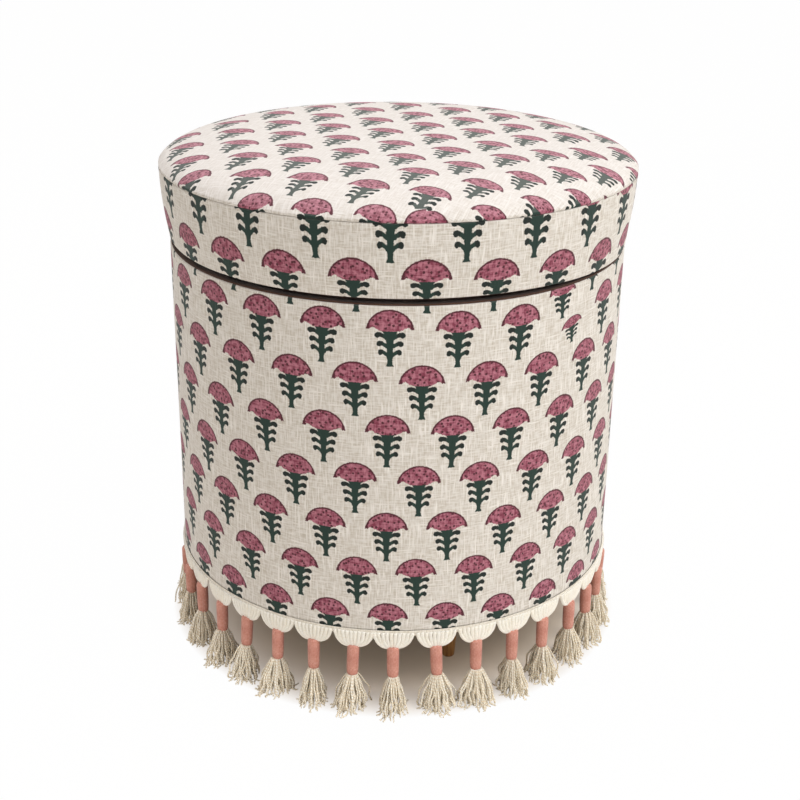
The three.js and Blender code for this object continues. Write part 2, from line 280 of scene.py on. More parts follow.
def add_sums(rows):
    """Adds a node for each row of sums, and remembers its output under the row's name."""
    for name, operation, *values in rows:
        inputs = {i: sums.get(value, value) for i, value in enumerate(values)}
        sums[name] = add(sprigs, "Math", inputs, operation=operation).outputs[0]


add_sums(PLACE_SUMS)
cell = add(sprigs, "CombineXYZ", {"X": sums["column"], "Y": sums["row"]})
chance = add(sprigs, "TexWhiteNoise", {"Vector": cell}, noise_dimensions="3D")
lots = add(sprigs, "SeparateColor", {0: chance.outputs["Color"]})
spot = add(sprigs, "CombineXYZ", {"X": sums["u"], "Y": sums["v"]})
seed_size = {"Vector": spot, "Scale": 1 / SEED_SPACING, "Randomness": 0.9}
seeds = add(sprigs, "TexVoronoi", seed_size, voronoi_dimensions="2D")
sums["seed_far"] = add(
    sprigs, "Math", {0: seeds.outputs["Distance"], 1: SEED_SPACING}, operation="MULTIPLY"
).outputs[0]
for i in range(3):
    sums[f"lot_{i + 1}"] = lots.outputs[i]
add_sums(HEAD_SUMS + GREEN_SUMS + DARK_SUMS)
for socket, name in inks.items():
    sprigs.links.new(sums[name], taken.inputs[socket])
print("nodes in the sprig group:", len(sprigs.nodes))

# %% [markdown]
# Linen yarn is uneven: some threads swell into slubs, and both the warp and the weft show as
# short streaks. The threads and the print have a map each, so that a sprig printed out of place
# doesn't bend the threads. Two stretched noises draw the slubs and two finer ones draw the
# threads between them. Real threads here are about 0.6 mm apart, which is too fine for the
# picture, so they are drawn 1.3 mm apart, and the slubs at their true length.

# %% Threads of the printed linen
THREAD = 1.3
SLUB_WIDTH = 1.6
SLUB_LENGTH = 18.0
LAID = 7  # a thread shows for this many of its own widths before it dives under others
BLOTCH = 4  # size of the patches in which ink is laid on thick or thin

# Unbleached linen, woven and washed: matt and dry to look at, broken up by pale slubs, with a
# faint fuzz that lightens it where the eye meets it at a low angle.
printed_linen, tree, linen_shader = new_material(
    "printed_linen", Roughness=0.9, Sheen_Roughness=0.5
)
cloth_uv = add(tree, "UVMap", uv_map="cloth_mm")
print_uv = add(tree, "UVMap", uv_map="print_mm")
streaks = {}
for name, across, up, detail in (
    ("warp_slub", 1 / SLUB_WIDTH, 1 / SLUB_LENGTH, 1.0),
    ("weft_slub", 1 / SLUB_LENGTH, 1 / SLUB_WIDTH, 1.0),
    ("warp", 1 / THREAD, 1 / (LAID * THREAD), 2.0),
    ("weft", 1 / (LAID * THREAD), 1 / THREAD, 2.0),
    ("blotch", 1 / BLOTCH, 1 / BLOTCH, 2.0),
):
    stretched = add(tree, "VectorMath", {0: cloth_uv, 1: (across, up, 1)}, operation="MULTIPLY")
    look = {"Vector": stretched, "Scale": 1.0, "Detail": detail}
    streaks[name] = add(tree, "TexNoise", look, noise_dimensions="2D").outputs["Fac"]
print("streaks:", list(streaks))

# %% [markdown]
# In a half-drop repeat every second column stands half a step lower. Two copies of the lattice
# make it, the second moved by half a pitch and one row. Real ink creeps along the threads, so
# its edge isn't clean: the place where the print is looked up wanders a little with a noise.

# %% Two lattices make the half-drop
RAGGED = 1.0  # how far an inked edge wanders
RAG_SCALE = 0.6  # turns of the wandering edge in a mm
INK_EDGE = 0.45  # softness of an inked edge

wander_noise = {"Vector": cloth_uv, "Scale": RAG_SCALE, "Detail": 2.0}
wobble = add(tree, "TexNoise", wander_noise, noise_dimensions="2D")
shift = add(
    tree, "VectorMath", {0: wobble.outputs["Color"], 1: (0.5, 0.5, 0.5)}, operation="SUBTRACT"
)
wander = add(
    tree, "VectorMath", {0: shift, 1: (RAGGED, RAGGED, 0), 2: print_uv}, operation="MULTIPLY_ADD"
)
inked = add(tree, "SeparateXYZ", {0: wander})
rag = add(tree, "Math", {0: streaks["warp"], 1: 0.5}, operation="SUBTRACT")
lattices = []
for u_shift, v_shift in ((0.0, 0.0), (PITCH / 2, ROW)):
    u = add(tree, "Math", {0: inked.outputs["X"], 1: u_shift}, operation="ADD")
    v = add(tree, "Math", {0: inked.outputs["Y"], 1: v_shift}, operation="ADD")
    lattice = add(tree, "Group", node_tree=sprigs)
    for socket, value in (("U", u), ("V", v), ("Rag", rag)):
        tree.links.new(value.outputs[0], lattice.inputs[socket])
    lattices.append(lattice)

masks = {}
for name in inks:
    both = add(tree, "Math", {i: lattices[i].outputs[name] for i in (0, 1)}, operation="MAXIMUM")
    edge = {"Value": both, "From Min": -INK_EDGE / 2, "From Max": INK_EDGE / 2}
    masks[name] = add(tree, "MapRange", edge).outputs[0]
print("inks:", list(masks))

# %% [markdown]
# Each colour of the print comes from a block of its own: a rose one for the flower head, a green
# one for stem and leaves, and a dark one for outlines and seeds. Ink sinks between the threads
# and misses some of them, so the rose varies in patches. Where the cloth faces up, a painted
# glare stands in for the strong light from above: its slubs are drawn flatter and its ink paler.

# %% Colours of the threads
LINEN_DEEP = "#ccc4b8"  # in the gaps between threads
LINEN_MID = "#e6e2dc"
LINEN_LIGHT = "#f6f2ed"  # the slubs

threads = add(tree, "Math", {0: streaks["warp"], 1: streaks["weft"]}, operation="ADD")
thread_share = add(tree, "MapRange", {"Value": threads, "From Min": 0.72, "From Max": 1.2})
weft_slub = add(tree, "Math", {0: streaks["weft_slub"], 1: 0.06}, operation="SUBTRACT")
slub = add(tree, "Math", {0: streaks["warp_slub"], 1: weft_slub}, operation="MAXIMUM")
slub_share = add(tree, "MapRange", {"Value": slub, "From Min": 0.55, "From Max": 0.78})
cloth = colour(LINEN_DEEP)
for share, code in ((thread_share, LINEN_MID), (slub_share, LINEN_LIGHT)):
    mixed = {"Factor": share, "A": cloth, "B": colour(code)}
    cloth = add(tree, "Mix", mixed, data_type="RGBA").outputs["Result"]
print("threads drawn with", len(tree.nodes), "nodes")

# %% Painted glare on the cloth that faces up
# painted highlight: cloth that faces up is drawn towards this pale, flat tone, for strong light
# from above
LINEN_UNDER_GLARE = "#dedad4"
GLARE_FLATTENS = 0.5  # how much of the difference between slubs and threads the painted glare flattens
INK_UNDER_GLARE = 0.91  # how much of the ink is left under the painted glare

facing = add(tree, "NewGeometry")
facing_up = add(tree, "SeparateXYZ", {0: facing.outputs["Normal"]})
# painted glare: 0 where the cloth faces sideways, 1 where it faces up
glare_share = add(tree, "MapRange", {"Value": facing_up.outputs["Z"], "From Min": 0.3, "From Max": 0.9})
glare_flattened = add(tree, "Math", {0: glare_share, 1: GLARE_FLATTENS}, operation="MULTIPLY")
mixed = {"Factor": glare_flattened, "A": cloth, "B": colour(LINEN_UNDER_GLARE)}
cloth = add(tree, "Mix", mixed, data_type="RGBA").outputs["Result"]
ink_left_under_glare = add(tree, "Math", {0: glare_share, 1: INK_UNDER_GLARE - 1, 2: 1.0}, operation="MULTIPLY_ADD")
print("ink left on the seat:", INK_UNDER_GLARE)

# %% Four inks over the cloth
HEAD_PINK = "#80354a"
HEAD_ROSE = "#bb7788"
INK_DARK = "#52222d"
LEAF_GREEN = "#19332b"
LEAF_DARK = "#111d18"

ink_laid = add(tree, "Math", {0: streaks["blotch"], 1: 1.6, 2: threads}, operation="MULTIPLY_ADD")
ink_patches = add(tree, "MapRange", {"Value": ink_laid, "From Min": 1.45, "From Max": 2.1})
rose = {"Factor": ink_patches, "A": colour(HEAD_PINK), "B": colour(HEAD_ROSE)}
pink = add(tree, "Mix", rose, data_type="RGBA")
for name, ink in (
    ("Head", pink.outputs["Result"]),
    ("Dark", colour(INK_DARK)),
    ("Green", colour(LEAF_GREEN)),
    ("Tip", colour(LEAF_DARK)),
):
    ink_share = add(tree, "Math", {0: masks[name], 1: ink_left_under_glare}, operation="MULTIPLY")
    mixed = {"Factor": ink_share, "A": cloth, "B": ink}
    cloth = add(tree, "Mix", mixed, data_type="RGBA").outputs["Result"]
tree.links.new(cloth, linen_shader.inputs["Base Color"])
print("inks over the cloth:", len(masks))

# %% Fuzz and relief of the linen
BARE_FUZZ = 0.3  # sheen of bare cloth
INKED_FUZZ = 0.12  # ink glues the loose fibres down, so they catch less light
LINEN_RELIEF = 0.25  # mm that a slub stands proud

printed = add(tree, "Math", {0: masks["Head"], 1: masks["Green"]}, operation="MAXIMUM")
fuzz = add(tree, "MapRange", {"Value": printed, "To Min": BARE_FUZZ, "To Max": INKED_FUZZ})
tree.links.new(fuzz.outputs[0], linen_shader.inputs["Sheen Weight"])
relief = add(tree, "Math", {0: threads, 1: slub_share}, operation="ADD")
bump = add(tree, "Bump", {"Height": relief, "Strength": 0.5, "Distance": LINEN_RELIEF * MM})
tree.links.new(bump.outputs[0], linen_shader.inputs["Normal"])
print("linen nodes:", len(tree.nodes))

# %% [markdown]
# The drum's cover is one tube of cloth pulled over wadding. A cylinder would look like metal,
# so the tube is built from an outline that is turned round the drum, with soft folds at its
# top and foot, slow swells where the wadding is uneven, and a sewn seam at the back.
# Every point also stores where it lies on the flat cloth, in millimetres, for the print.

# %% Slow swells


def swells(angle, height, size, seed):
    """Slow, smooth unevenness round the drum, in mm. It meets itself at the back."""
    lots = np.random.default_rng(seed)
    total = np.zeros(np.broadcast(angle, height).shape)
    for waves in (2, 3, 5, 7, 9, 13):
        tilt, phase = lots.uniform(-0.02, 0.02), lots.uniform(0, 2 * math.pi)
        total += np.sin(waves * angle + tilt * height + phase) / waves**0.5
    return size * total / 3


around = np.linspace(-math.pi, math.pi, 200)
print("a swell of size 1 reaches", round(float(abs(swells(around, 0, 1, 5)).max()), 2), "mm")

# %% Meshes from points


def surface(name, points, faces, uv=None, finish=None, smooth=True):
    """A mesh object from points in mm. uv holds one (u, v) in mm for each face corner."""
    mesh = bpy.data.meshes.new(name)
    mesh.from_pydata((np.asarray(points) * MM).tolist(), [], faces)
    if uv is not None:
        layer = mesh.uv_layers.new(name="cloth_mm")
        layer.data.foreach_set("uv", np.asarray(uv, dtype=np.float32).ravel())
    mesh.polygons.foreach_set("use_smooth", [smooth] * len(mesh.polygons))
    if finish:
        mesh.materials.append(finish)
    made = bpy.data.objects.new(name, mesh)
    scene.collection.objects.link(made)
    return made


def grid_faces(rows, columns, round_columns=True):
    """Faces of a grid of points, and the (row, column) of each face's corners."""
    spans = columns if round_columns else columns - 1
    i, j = np.meshgrid(np.arange(rows - 1), np.arange(spans), indexing="ij")
    row = np.stack([i, i, i + 1, i + 1], -1).reshape(-1, 4)
    column = np.stack([j, j + 1, j + 1, j], -1).reshape(-1, 4)
    faces = (row * columns + column % columns).tolist()
    return faces, row, column


print("faces in a closed grid of 3 rows by 8:", len(grid_faces(3, 8)[0]))

# %% Outlines with rounded corners


def rounded(outline, steps=5):
    """An outline of (radius, height) or (radius, height, rounding) points, its corners rounded."""
    points = []
    for k, (r, z, *bend) in enumerate(outline):
        here = np.array((r, z), float)
        if not bend or k in (0, len(outline) - 1):
            points.append(here)
            continue
        before, after = (np.array(outline[n][:2], float) - here for n in (k - 1, k + 1))
        start = here + before / np.linalg.norm(before) * bend[0]
        end = here + after / np.linalg.norm(after) * bend[0]
        for t in np.linspace(0, 1, steps + 1):
            points.append((1 - t) ** 2 * start + 2 * t * (1 - t) * here + t**2 * end)
    return np.array(points)


def divided(outline, step):
    """The same outline with no stretch longer than a step."""
    points = [outline[0]]
    for a, b in zip(outline[:-1], outline[1:]):
        parts = max(1, math.ceil(np.linalg.norm(b - a) / step))
        points += [a + (b - a) * (k + 1) / parts for k in range(parts)]
    return np.array(points)


print("a square corner rounded by 2 mm:", rounded([(0, 0), (10, 0, 2), (10, 10)])[1:-1].round(1))

# %% A turned piece
DRUM_RADIUS = 200.0  # cloth is laid flat at this radius, whatever its own


def lay_print(piece, uv):
    """Stores where the print falls, apart from where the threads run."""
    layer = piece.data.uv_layers.new(name="print_mm")
    layer.data.foreach_set("uv", np.asarray(uv, dtype=np.float32).ravel())


def turned(name, outline, finish, columns=160, ripple=None, print_at=None, closed=False):
    """Turns an outline round Z. ripple gives outward mm, and print_at the flat (u, v) of points."""
    angles = np.linspace(-math.pi, math.pi, columns + 1)
    radius, height = outline[:, :1], outline[:, 1:]
    far = radius + (ripple(angles[None, :-1], height) if ripple else 0 * angles[None, :-1])
    points = np.stack(
        [far * np.sin(angles[:-1]), -far * np.cos(angles[:-1]), height + 0 * far], -1
    ).reshape(-1, 3)
    if closed:
        rows = len(outline) + 1
        faces, row, column = grid_faces(rows, columns)
        faces = [[corner % len(points) for corner in face] for face in faces]
    else:
        faces, row, column = grid_faces(len(outline), columns)
    steps = np.linalg.norm(np.diff(outline[list(range(len(outline))) + [0]], axis=0), axis=1)
    along = np.concatenate([[0], np.cumsum(steps)])
    flat = np.stack([DRUM_RADIUS * angles[column], along[row]], -1)
    made = surface(name, points, faces, flat.reshape(-1, 2), finish)
    if print_at:
        lay_print(made, print_at(flat[..., 0], flat[..., 1]))
    return made


print("the map of threads goes round in", round(2 * math.pi * DRUM_RADIUS, 1), "mm")

# %% The seam up the back, and where the lid sits down


def lapped_seam(angle, dip, rise):
    """A seam up the back, in mm outwards: a dip where it is sewn, and a rise where it laps."""
    from_seam = DRUM_RADIUS * (math.pi - np.abs(angle))
    sewn = -dip * np.exp(-((from_seam / 2.2) ** 2))
    return sewn + rise * np.exp(-(((from_seam - 8) / 4) ** 2))


def lifted(piece, lift):
    """Moves every point of a piece up by lift(angle, radius, height) mm."""
    points = np.empty(3 * len(piece.data.vertices))
    piece.data.vertices.foreach_get("co", points)
    x, y, z = points.reshape(-1, 3).T / MM
    z = z + lift(np.arctan2(x, -y), np.hypot(x, y), z)
    piece.data.vertices.foreach_set("co", (np.stack([x, y, z], -1) * MM).ravel())


def smooth_step(value, start, end):
    """Rises smoothly from 0 to 1 between a start and an end."""
    share = np.clip((value - start) / (end - start), 0, 1)
    return share * share * (3 - 2 * share)


def sagging(angle):
    """How far the lid sits down on the drum: 1 at the right, where the slot closes, 0 elsewhere."""
    turn = np.degrees(angle)
    return smooth_step(turn, 24, 68) * (1 - smooth_step(turn, 120, 160))


print("the lid sits down most at", np.degrees(around[sagging(around).argmax()]).round(), "degrees")

# %% [markdown]
# Cloth is never pulled on quite straight. Here the sprigs stand a little closer together at
# the foot than at the rim, their rows bend, and two odd ones at the right fill a gap. A second
# UV map holds where the print falls, so that it can bend while the threads stay even: each
# point looks the print up a few millimetres from where it lies.

# %% Where the print falls
COLUMN_SHIFT = 5.3  # a column of sprigs stands this far left of the front
TOP_ROW = 335.3  # level of the middle of a sprig in the highest row
FOOT_LEVEL = 96  # level at which the pitch round the drum is FOOT_PITCH
FOOT_PITCH = 49.2
PITCH_GROWTH = 0.0204  # more pitch for each mm upwards
WALL_MIDDLE = 220
WALL_HALF = 140


def print_place(u, v, pull_round, pull_up):
    """Flat cloth (u, v) of a point at u round the drum and level v. The rows fan out upwards.

    Each pull lists mm for 1, v, v * v, u, u * v and u * u, with u and v as shares of the drum.
    """
    pitch = FOOT_PITCH + PITCH_GROWTH * (v - FOOT_LEVEL)
    a, b = np.clip(u / DRUM_RADIUS, -1.3, 1.3), (v - WALL_MIDDLE) / WALL_HALF
    bends = np.stack([a**0, b, b * b, a, a * b, a * a], -1)
    u, level = u - bends @ np.array(pull_round), v - bends @ np.array(pull_up)
    return np.stack([(u + COLUMN_SHIFT) * PITCH / pitch, level - TOP_ROW], -1)


# At the right two sprigs stand out of line and are smaller, as if the printer filled a gap:
# the patches of faces (left, right, low, high) that one fills, its middle, size and tilt.
ODD_SPRIGS = [
    ([(126, 175, 334.5, 368)], (145.0, 353.7), (0.87, 0.71), 0.05),
    (
        [
            (141, 160, 306, 314),
            (141, 167, 313, 324),
            (141, 175, 324, 334.5),
            (150, 175, 334, 341.4),
        ],
        (158.5, 325.5),
        (0.72, 0.5),
        0.2,
    ),
]
BARE_CLOTH = (PITCH / 2, 0)  # a place between the sprigs of both lattices


def drum_print(u, v):
    """Where the print falls on the drum's faces, whose corners lie at u round it and level v."""
    uv = print_place(u, v, (-0.4, 0, 2.1, -1.3, -1.8, -1.6), (0.9, -0.8, 1.9, -2.9, 0.4, -1.8))
    mid_u, mid_v = u.mean(-1), v.mean(-1)
    for patches, home, size, tilt in ODD_SPRIGS:
        own = np.stack([u, v - tilt * (u - home[0])], -1)
        own = (own - home) / size
        across, up = own.mean(-2)[..., 0], own.mean(-2)[..., 1]
        # outside one sprig's own outline, which is narrow at its foot, the cloth is bare
        bare = (abs(across) > 19) | (up > 27) | (up < -24.5) | ((up < -17) & (abs(across) > 9))
        own[bare] = BARE_CLOTH
        for left, right, low, high in patches:
            inside = (mid_u > left) & (mid_u < right) & (mid_v > low) & (mid_v < high)
            uv[inside] = own[inside]
    return uv


print("odd sprigs:", len(ODD_SPRIGS))

# %% Cover of the drum
DRUM_TOP = 364.0
COVER_BOTTOM = 74.9
HEM_WIDTH = 22.0  # turned in under the drum
TURN_IN = 10.5  # turned in over its top
CLOTH = 1.0  # thickness of the cover cloth
EDGE_LIFT = 0.7  # the edge stands this much higher where the lid sits down on it

drum_outline = divided(
    rounded(
        [
            (DRUM_RADIUS - HEM_WIDTH, COVER_BOTTOM + 0.2),
            (DRUM_RADIUS, COVER_BOTTOM, 3.5),
            (DRUM_RADIUS, DRUM_TOP, 2),
            (DRUM_RADIUS - TURN_IN, DRUM_TOP),
        ]
    ),
    3.5,
)


def drum_ripple(angle, height):
    """The wall swells a little, but not at its top and foot, and a seam runs up the back."""
    inside = np.clip((height - 80) / 30, 0, 1) * np.clip((DRUM_TOP - 4 - height) / 20, 0, 1)
    return inside * swells(angle, height, 0.35, 5) + lapped_seam(angle, 0.9, 0.5)


def cover_lift(angle, radius, height):
    """The cover's upper edge stands higher where the lid sits down on it."""
    return EDGE_LIFT * sagging(angle) * smooth_step(height, DRUM_TOP - 12, DRUM_TOP)


drum_cover = turned(
    "drum_cover_cloth",
    drum_outline,
    printed_linen,
    columns=320,
    ripple=drum_ripple,
    print_at=lambda u, along: drum_print(u, along - HEM_WIDTH + COVER_BOTTOM + 1.0),
)
lifted(drum_cover, cover_lift)
drum_cover.modifiers.new("cloth thickness", "SOLIDIFY").thickness = CLOTH * MM
print("drum cover points:", len(drum_cover.data.vertices))
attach(drum_cover, "drum")
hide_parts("drum_cover")

# %% [markdown]
# On top of the drum the cover ends in a raw edge, and a brown cotton tape is glued over it.
# It lies in the slot under the lid, so it shows as a thin dark line. A turned outline with
# soft corners is all that it needs, and it rises where the drum's edge rises.

# %% Tape over the raw edge of the cover, on top of the drum
EDGE_TAPE = 1.0  # the tape's top above the drum
EDGE_TAPE_IN = 0.7  # from the drum's side to the tape's edge

# Cotton tape, dyed brown: matt and flat, dark enough to vanish in the shade of the slot.
brown_tape, tree, _ = new_material(
    "brown_cotton_tape", Base_Color=colour("#482a1a"), Roughness=0.85, Sheen_Weight=0.1
)
binding_outline = rounded(
    [
        (DRUM_RADIUS - TURN_IN, DRUM_TOP + 0.1),
        (DRUM_RADIUS - EDGE_TAPE_IN, DRUM_TOP + 0.1, 0.3),
        (DRUM_RADIUS - EDGE_TAPE_IN, DRUM_TOP + EDGE_TAPE, 0.4),
        (DRUM_RADIUS - TURN_IN, DRUM_TOP + EDGE_TAPE, 0.4),
    ]
)
binding = turned("drum_edge_tape", binding_outline, brown_tape, closed=True)
lifted(binding, lambda angle, radius, height: EDGE_LIFT * sagging(angle))
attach(binding, "drum")
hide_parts("drum_cover")
print("edge tape points:", len(binding.data.vertices))

# %% [markdown]
# The lid's cover has two parts: a band round the side, called the boxing, and a round top
# panel. They are sewn together at the edge, edges inwards, which pulls both cloths into a
# shallow groove with small puckers. The foam below pushes the cloth out again on both sides.
# At the right the boxing's hem sags and all but closes the slot. The band is turned like the
# drum's cover, and the hem is then let down where it sags.

# %% Outline of the boxing
LID_BOTTOM = 369.3
LID_HEIGHT = 61.0  # from its lower edge to the seam
SEAM_LEVEL = LID_BOTTOM + LID_HEIGHT
SEAM_RADIUS = 206.5
LID_HEM = 12.0
FLARE = 6.5  # the side leans out by this much on its way up
HEM_SAG = 2.9

side = [
    (DRUM_RADIUS + FLARE * math.sin(share * math.pi / 2), LID_BOTTOM + LID_HEIGHT * share)
    for share in np.linspace(0.04, 0.93, 14)
]
boxing_outline = divided(
    rounded(
        [
            (DRUM_RADIUS - LID_HEM, LID_BOTTOM + 0.2),
            (DRUM_RADIUS + 0.1, LID_BOTTOM, 2.2),
            *side,
            (SEAM_RADIUS + 0.3, SEAM_LEVEL - 2.0),
            (SEAM_RADIUS + 0.25, SEAM_LEVEL - 0.8),
            (SEAM_RADIUS - 0.1, SEAM_LEVEL - 0.15),
            (SEAM_RADIUS - 1.5, SEAM_LEVEL + 0.1),
        ]
    ),
    4,
)
print("the boxing's outline has", len(boxing_outline), "points")

# %% Puckers, and the hem that sags


def puckers(angle, seed, size):
    """Small pulls along a sewn edge, in mm: short waves of uneven length and strength."""
    lots = np.random.default_rng(seed)
    total = 0 * angle
    for waves in (61, 83, 97, 118, 141):
        total = total + lots.uniform(0.5, 1) * np.sin(waves * angle + lots.uniform(0, 6.3))
    slow = 0.6 + 0.4 * np.sin(7 * angle + 1) * np.sin(4 * angle)
    return size * slow * total / 3


def boxing_ripple(angle, height):
    """Slow swells down the side, which give way to puckers near the seam round the top."""
    inside = np.clip((height - LID_BOTTOM - 2) / 15, 0, 1)
    near_seam = np.exp(-np.maximum(SEAM_LEVEL - height, 0) / 6)
    swell = inside * (1 - near_seam) * swells(angle, height, 0.5, 9)
    return swell + near_seam * puckers(angle, 3, 0.22) + lapped_seam(angle, 0.8, 0.4)


def hem_drop(angle, radius, height):
    """The hem sags at the right, but stays up where the wooden rim is under it."""
    low = 1 - smooth_step(height, LID_BOTTOM + 1, LID_BOTTOM + 16)
    return -HEM_SAG * sagging(angle) * low * smooth_step(radius, 190, 197)


print("the hem drops by at most", round(-hem_drop(around, 200, LID_BOTTOM).min(), 2), "mm")

# %% Boxing of the lid
# the band is pulled up over the foam, so its print grows longer towards the top
BAND_LEVELS = (300, 385.5, 401.3, 440)  # on the lid
BAND_PRINT = (301.2, 386.7, 401.3, 432.3)  # where the drum's print would have the same line


def boxing_print(u, along):
    """Where the print falls on the boxing, from u round it and mm along its outline."""
    level = along - LID_HEM + LID_BOTTOM + 0.8
    level = np.interp(level, BAND_LEVELS, BAND_PRINT)
    return print_place(u, level, (0.7, 0, 0, 1.8, 0, 1.3), (1.4, 0, 0, -2.6, 0, -2.9))


lid_boxing = turned(
    "lid_boxing_cloth",
    boxing_outline,
    printed_linen,
    columns=480,
    ripple=boxing_ripple,
    print_at=boxing_print,
)
lifted(lid_boxing, hem_drop)
lid_boxing.modifiers.new("cloth thickness", "SOLIDIFY").thickness = CLOTH * MM
print("boxing points:", len(lid_boxing.data.vertices))
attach(lid_boxing, "lid")
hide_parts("lid_boxing")

# %% [markdown]
# The top panel is a disc. Rings of points would crowd together in its middle, so a square grid
# is bent into a disc instead, which keeps the squares even and its border exactly round. The
# rows near the border are closer together, because the seam and its puckers are there.

# %% A square grid bent into a disc


def disc_grid(count, radii):
    """Points (x, y) of a grid that fills a disc. radii maps 0..1 from the middle out to mm."""
    line = np.linspace(-1, 1, count)
    a, b = np.meshgrid(line, line)
    far = np.maximum(abs(a), abs(b))
    wide = abs(a) >= abs(b)
    with np.errstate(divide="ignore", invalid="ignore"):
        turn = np.where(wide, math.pi / 4 * b / a, math.pi / 2 - math.pi / 4 * a / b)
    turn = np.where(far == 0, 0, turn) + np.where(np.where(wide, a, b) < 0, math.pi, 0)
    radius = radii(far)
    return np.stack([radius * np.cos(turn), radius * np.sin(turn)], -1)


def disc_piece(name, xy, height, finish, print_at=None):
    """A disc-shaped cloth from grid points and their heights, all in mm."""
    count = len(xy)
    points = np.concatenate([xy, height[..., None]], -1).reshape(-1, 3)
    faces, row, column = grid_faces(count, count, round_columns=False)
    flat = xy[row, column]
    uv = print_at(flat) if print_at else flat
    return surface(name, points, faces, uv.reshape(-1, 2), finish)


print("corner of a disc of 10 mm:", disc_grid(3, lambda share: 10 * share)[0, 0].round(2))

# %% Outline of the top panel
CROWN = 17.0  # rise of the foam's shoulder
SHOULDER = 60.0  # width of the shoulder
DOME = 2.5  # more rise from the shoulder to the middle

# from the seam inwards: out over the groove, up, and round onto the foam
seam_turn = rounded(
    [
        (SEAM_RADIUS - 1.6, SEAM_LEVEL + 0.3),
        (SEAM_RADIUS + 0.3, SEAM_LEVEL + 0.3, 0.5),
        (SEAM_RADIUS + 0.3, SEAM_LEVEL + 2.4),
    ],
    4,
)
shoulder_turn = np.linspace(math.radians(14), math.pi / 2, 26)
shoulder_radius = SEAM_RADIUS - SHOULDER * (1 - np.cos(shoulder_turn))
shoulder_height = SEAM_LEVEL + 0.4 + CROWN * np.sin(shoulder_turn)
flat_part = np.linspace(shoulder_radius[-1], 0, 34)[1:]
crown_radius = np.concatenate([shoulder_radius, flat_part])
crown_height = np.concatenate([shoulder_height, 0 * flat_part + shoulder_height[-1]])
crown_height += DOME * (1 - (crown_radius / SEAM_RADIUS) ** 2)
top_outline = np.concatenate([seam_turn, np.stack([crown_radius, crown_height], -1)])
top_steps = np.linalg.norm(np.diff(top_outline, axis=0), axis=1)
top_along = np.concatenate([[0], np.cumsum(top_steps)])
TOP_RADIUS = top_along[-1]  # the flat disc before it is sewn
print("flat radius of the top panel:", round(TOP_RADIUS, 1), "height:", crown_height[-1].round(1))

# %% The top panel as a bent grid
TOP_POINTS = 141  # along each side of the grid


def crowded(share):
    """Flat radius of a ring at a share from middle to border; rings are closer at the border."""
    return TOP_RADIUS * np.interp(share, [0, 0.72, 0.86, 1], [0, 0.86, 0.965, 1])


flat_xy = disc_grid(TOP_POINTS, crowded)
flat_radius = np.linalg.norm(flat_xy, axis=-1)
turn = np.arctan2(flat_xy[..., 0], -flat_xy[..., 1])
from_edge = TOP_RADIUS - flat_radius
bent_radius = np.interp(from_edge, top_along, top_outline[:, 0])
bent_height = np.interp(from_edge, top_along, top_outline[:, 1])
outward = flat_xy / np.maximum(flat_radius, 1e-9)[..., None]
bent_xy = outward * bent_radius[..., None]
bent_height += np.clip(from_edge / 4, 0, 1) * np.exp(-from_edge / 9) * puckers(turn, 8, 0.5)
bent_height += np.clip(from_edge / 40, 0, 1) * swells(turn, flat_radius, 0.35, 12)
print("puckered rim to middle:", bent_height.min().round(1), bent_height.max().round(1))

# %% [markdown]
# The shape so far is drawn by rule. The panel is now made into real cloth for a moment: it is
# held where it is sewn, and the foam pushes it up from below for twenty frames. Every second
# point of the grid is enough for that. What the simulation moved is capped, then added to all
# the points, and the simulated copy is thrown away.

# %% The foam pushes the top panel up
PRESSURE = 4.0
SIMULATED_FRAMES = 20
MOST_MOVED = 1.6  # mm
SEWN_WIDTH = 9.0  # mm of the border that cannot move


def pushed_up(points, held):
    """How far each point of a grid of cloth moves, in mm, under pressure from below."""
    count = len(points)
    faces, _, _ = grid_faces(count, count, round_columns=False)
    panel = surface("simulated panel", points.reshape(-1, 3), faces)
    sewn = panel.vertex_groups.new(name="sewn")
    sewn.add(np.flatnonzero(held.ravel()).tolist(), 1.0, "REPLACE")
    cloth = panel.modifiers.new("cloth", "CLOTH")
    linen = cloth.settings
    linen.quality = 6
    linen.mass = 0.3
    linen.tension_stiffness = linen.compression_stiffness = 30
    linen.shear_stiffness = 15
    linen.bending_stiffness = 2
    linen.vertex_group_mass = "sewn"
    linen.use_pressure = True
    linen.uniform_pressure_force = PRESSURE
    linen.effector_weights.gravity = 0
    cloth.collision_settings.use_collision = False
    cloth.point_cache.frame_start, cloth.point_cache.frame_end = 1, SIMULATED_FRAMES
    for moment in range(1, SIMULATED_FRAMES + 1):
        scene.frame_set(moment)
    solved = panel.evaluated_get(bpy.context.evaluated_depsgraph_get()).to_mesh()
    after = np.empty(count * count * 3, dtype=np.float32)
    solved.vertices.foreach_get("co", after)
    bpy.data.objects.remove(panel)
    scene.frame_set(1)
    return after.reshape(count, count, 3) / MM - points


print("pressure on the cloth:", PRESSURE, "for", SIMULATED_FRAMES, "frames")

# %% Move the whole panel as the foam moved its copy


def twice_as_fine(grid):
    """A grid with a new point halfway between every two."""
    for axis in (0, 1):
        grid = np.moveaxis(grid, axis, 0)
        fine = np.repeat(grid, 2, axis=0)[:-1]
        fine[1::2] = (grid[:-1] + grid[1:]) / 2
        grid = np.moveaxis(fine, 0, axis)
    return grid


bent = np.concatenate([bent_xy, bent_height[..., None]], -1)
coarse = bent[::2, ::2]
moved = pushed_up(coarse, from_edge[::2, ::2] < SEWN_WIDTH)
outwards = np.cross(np.gradient(coarse, axis=1), np.gradient(coarse, axis=0))
outwards /= np.linalg.norm(outwards, axis=-1, keepdims=True)
outwards *= np.sign(outwards[..., 2:])
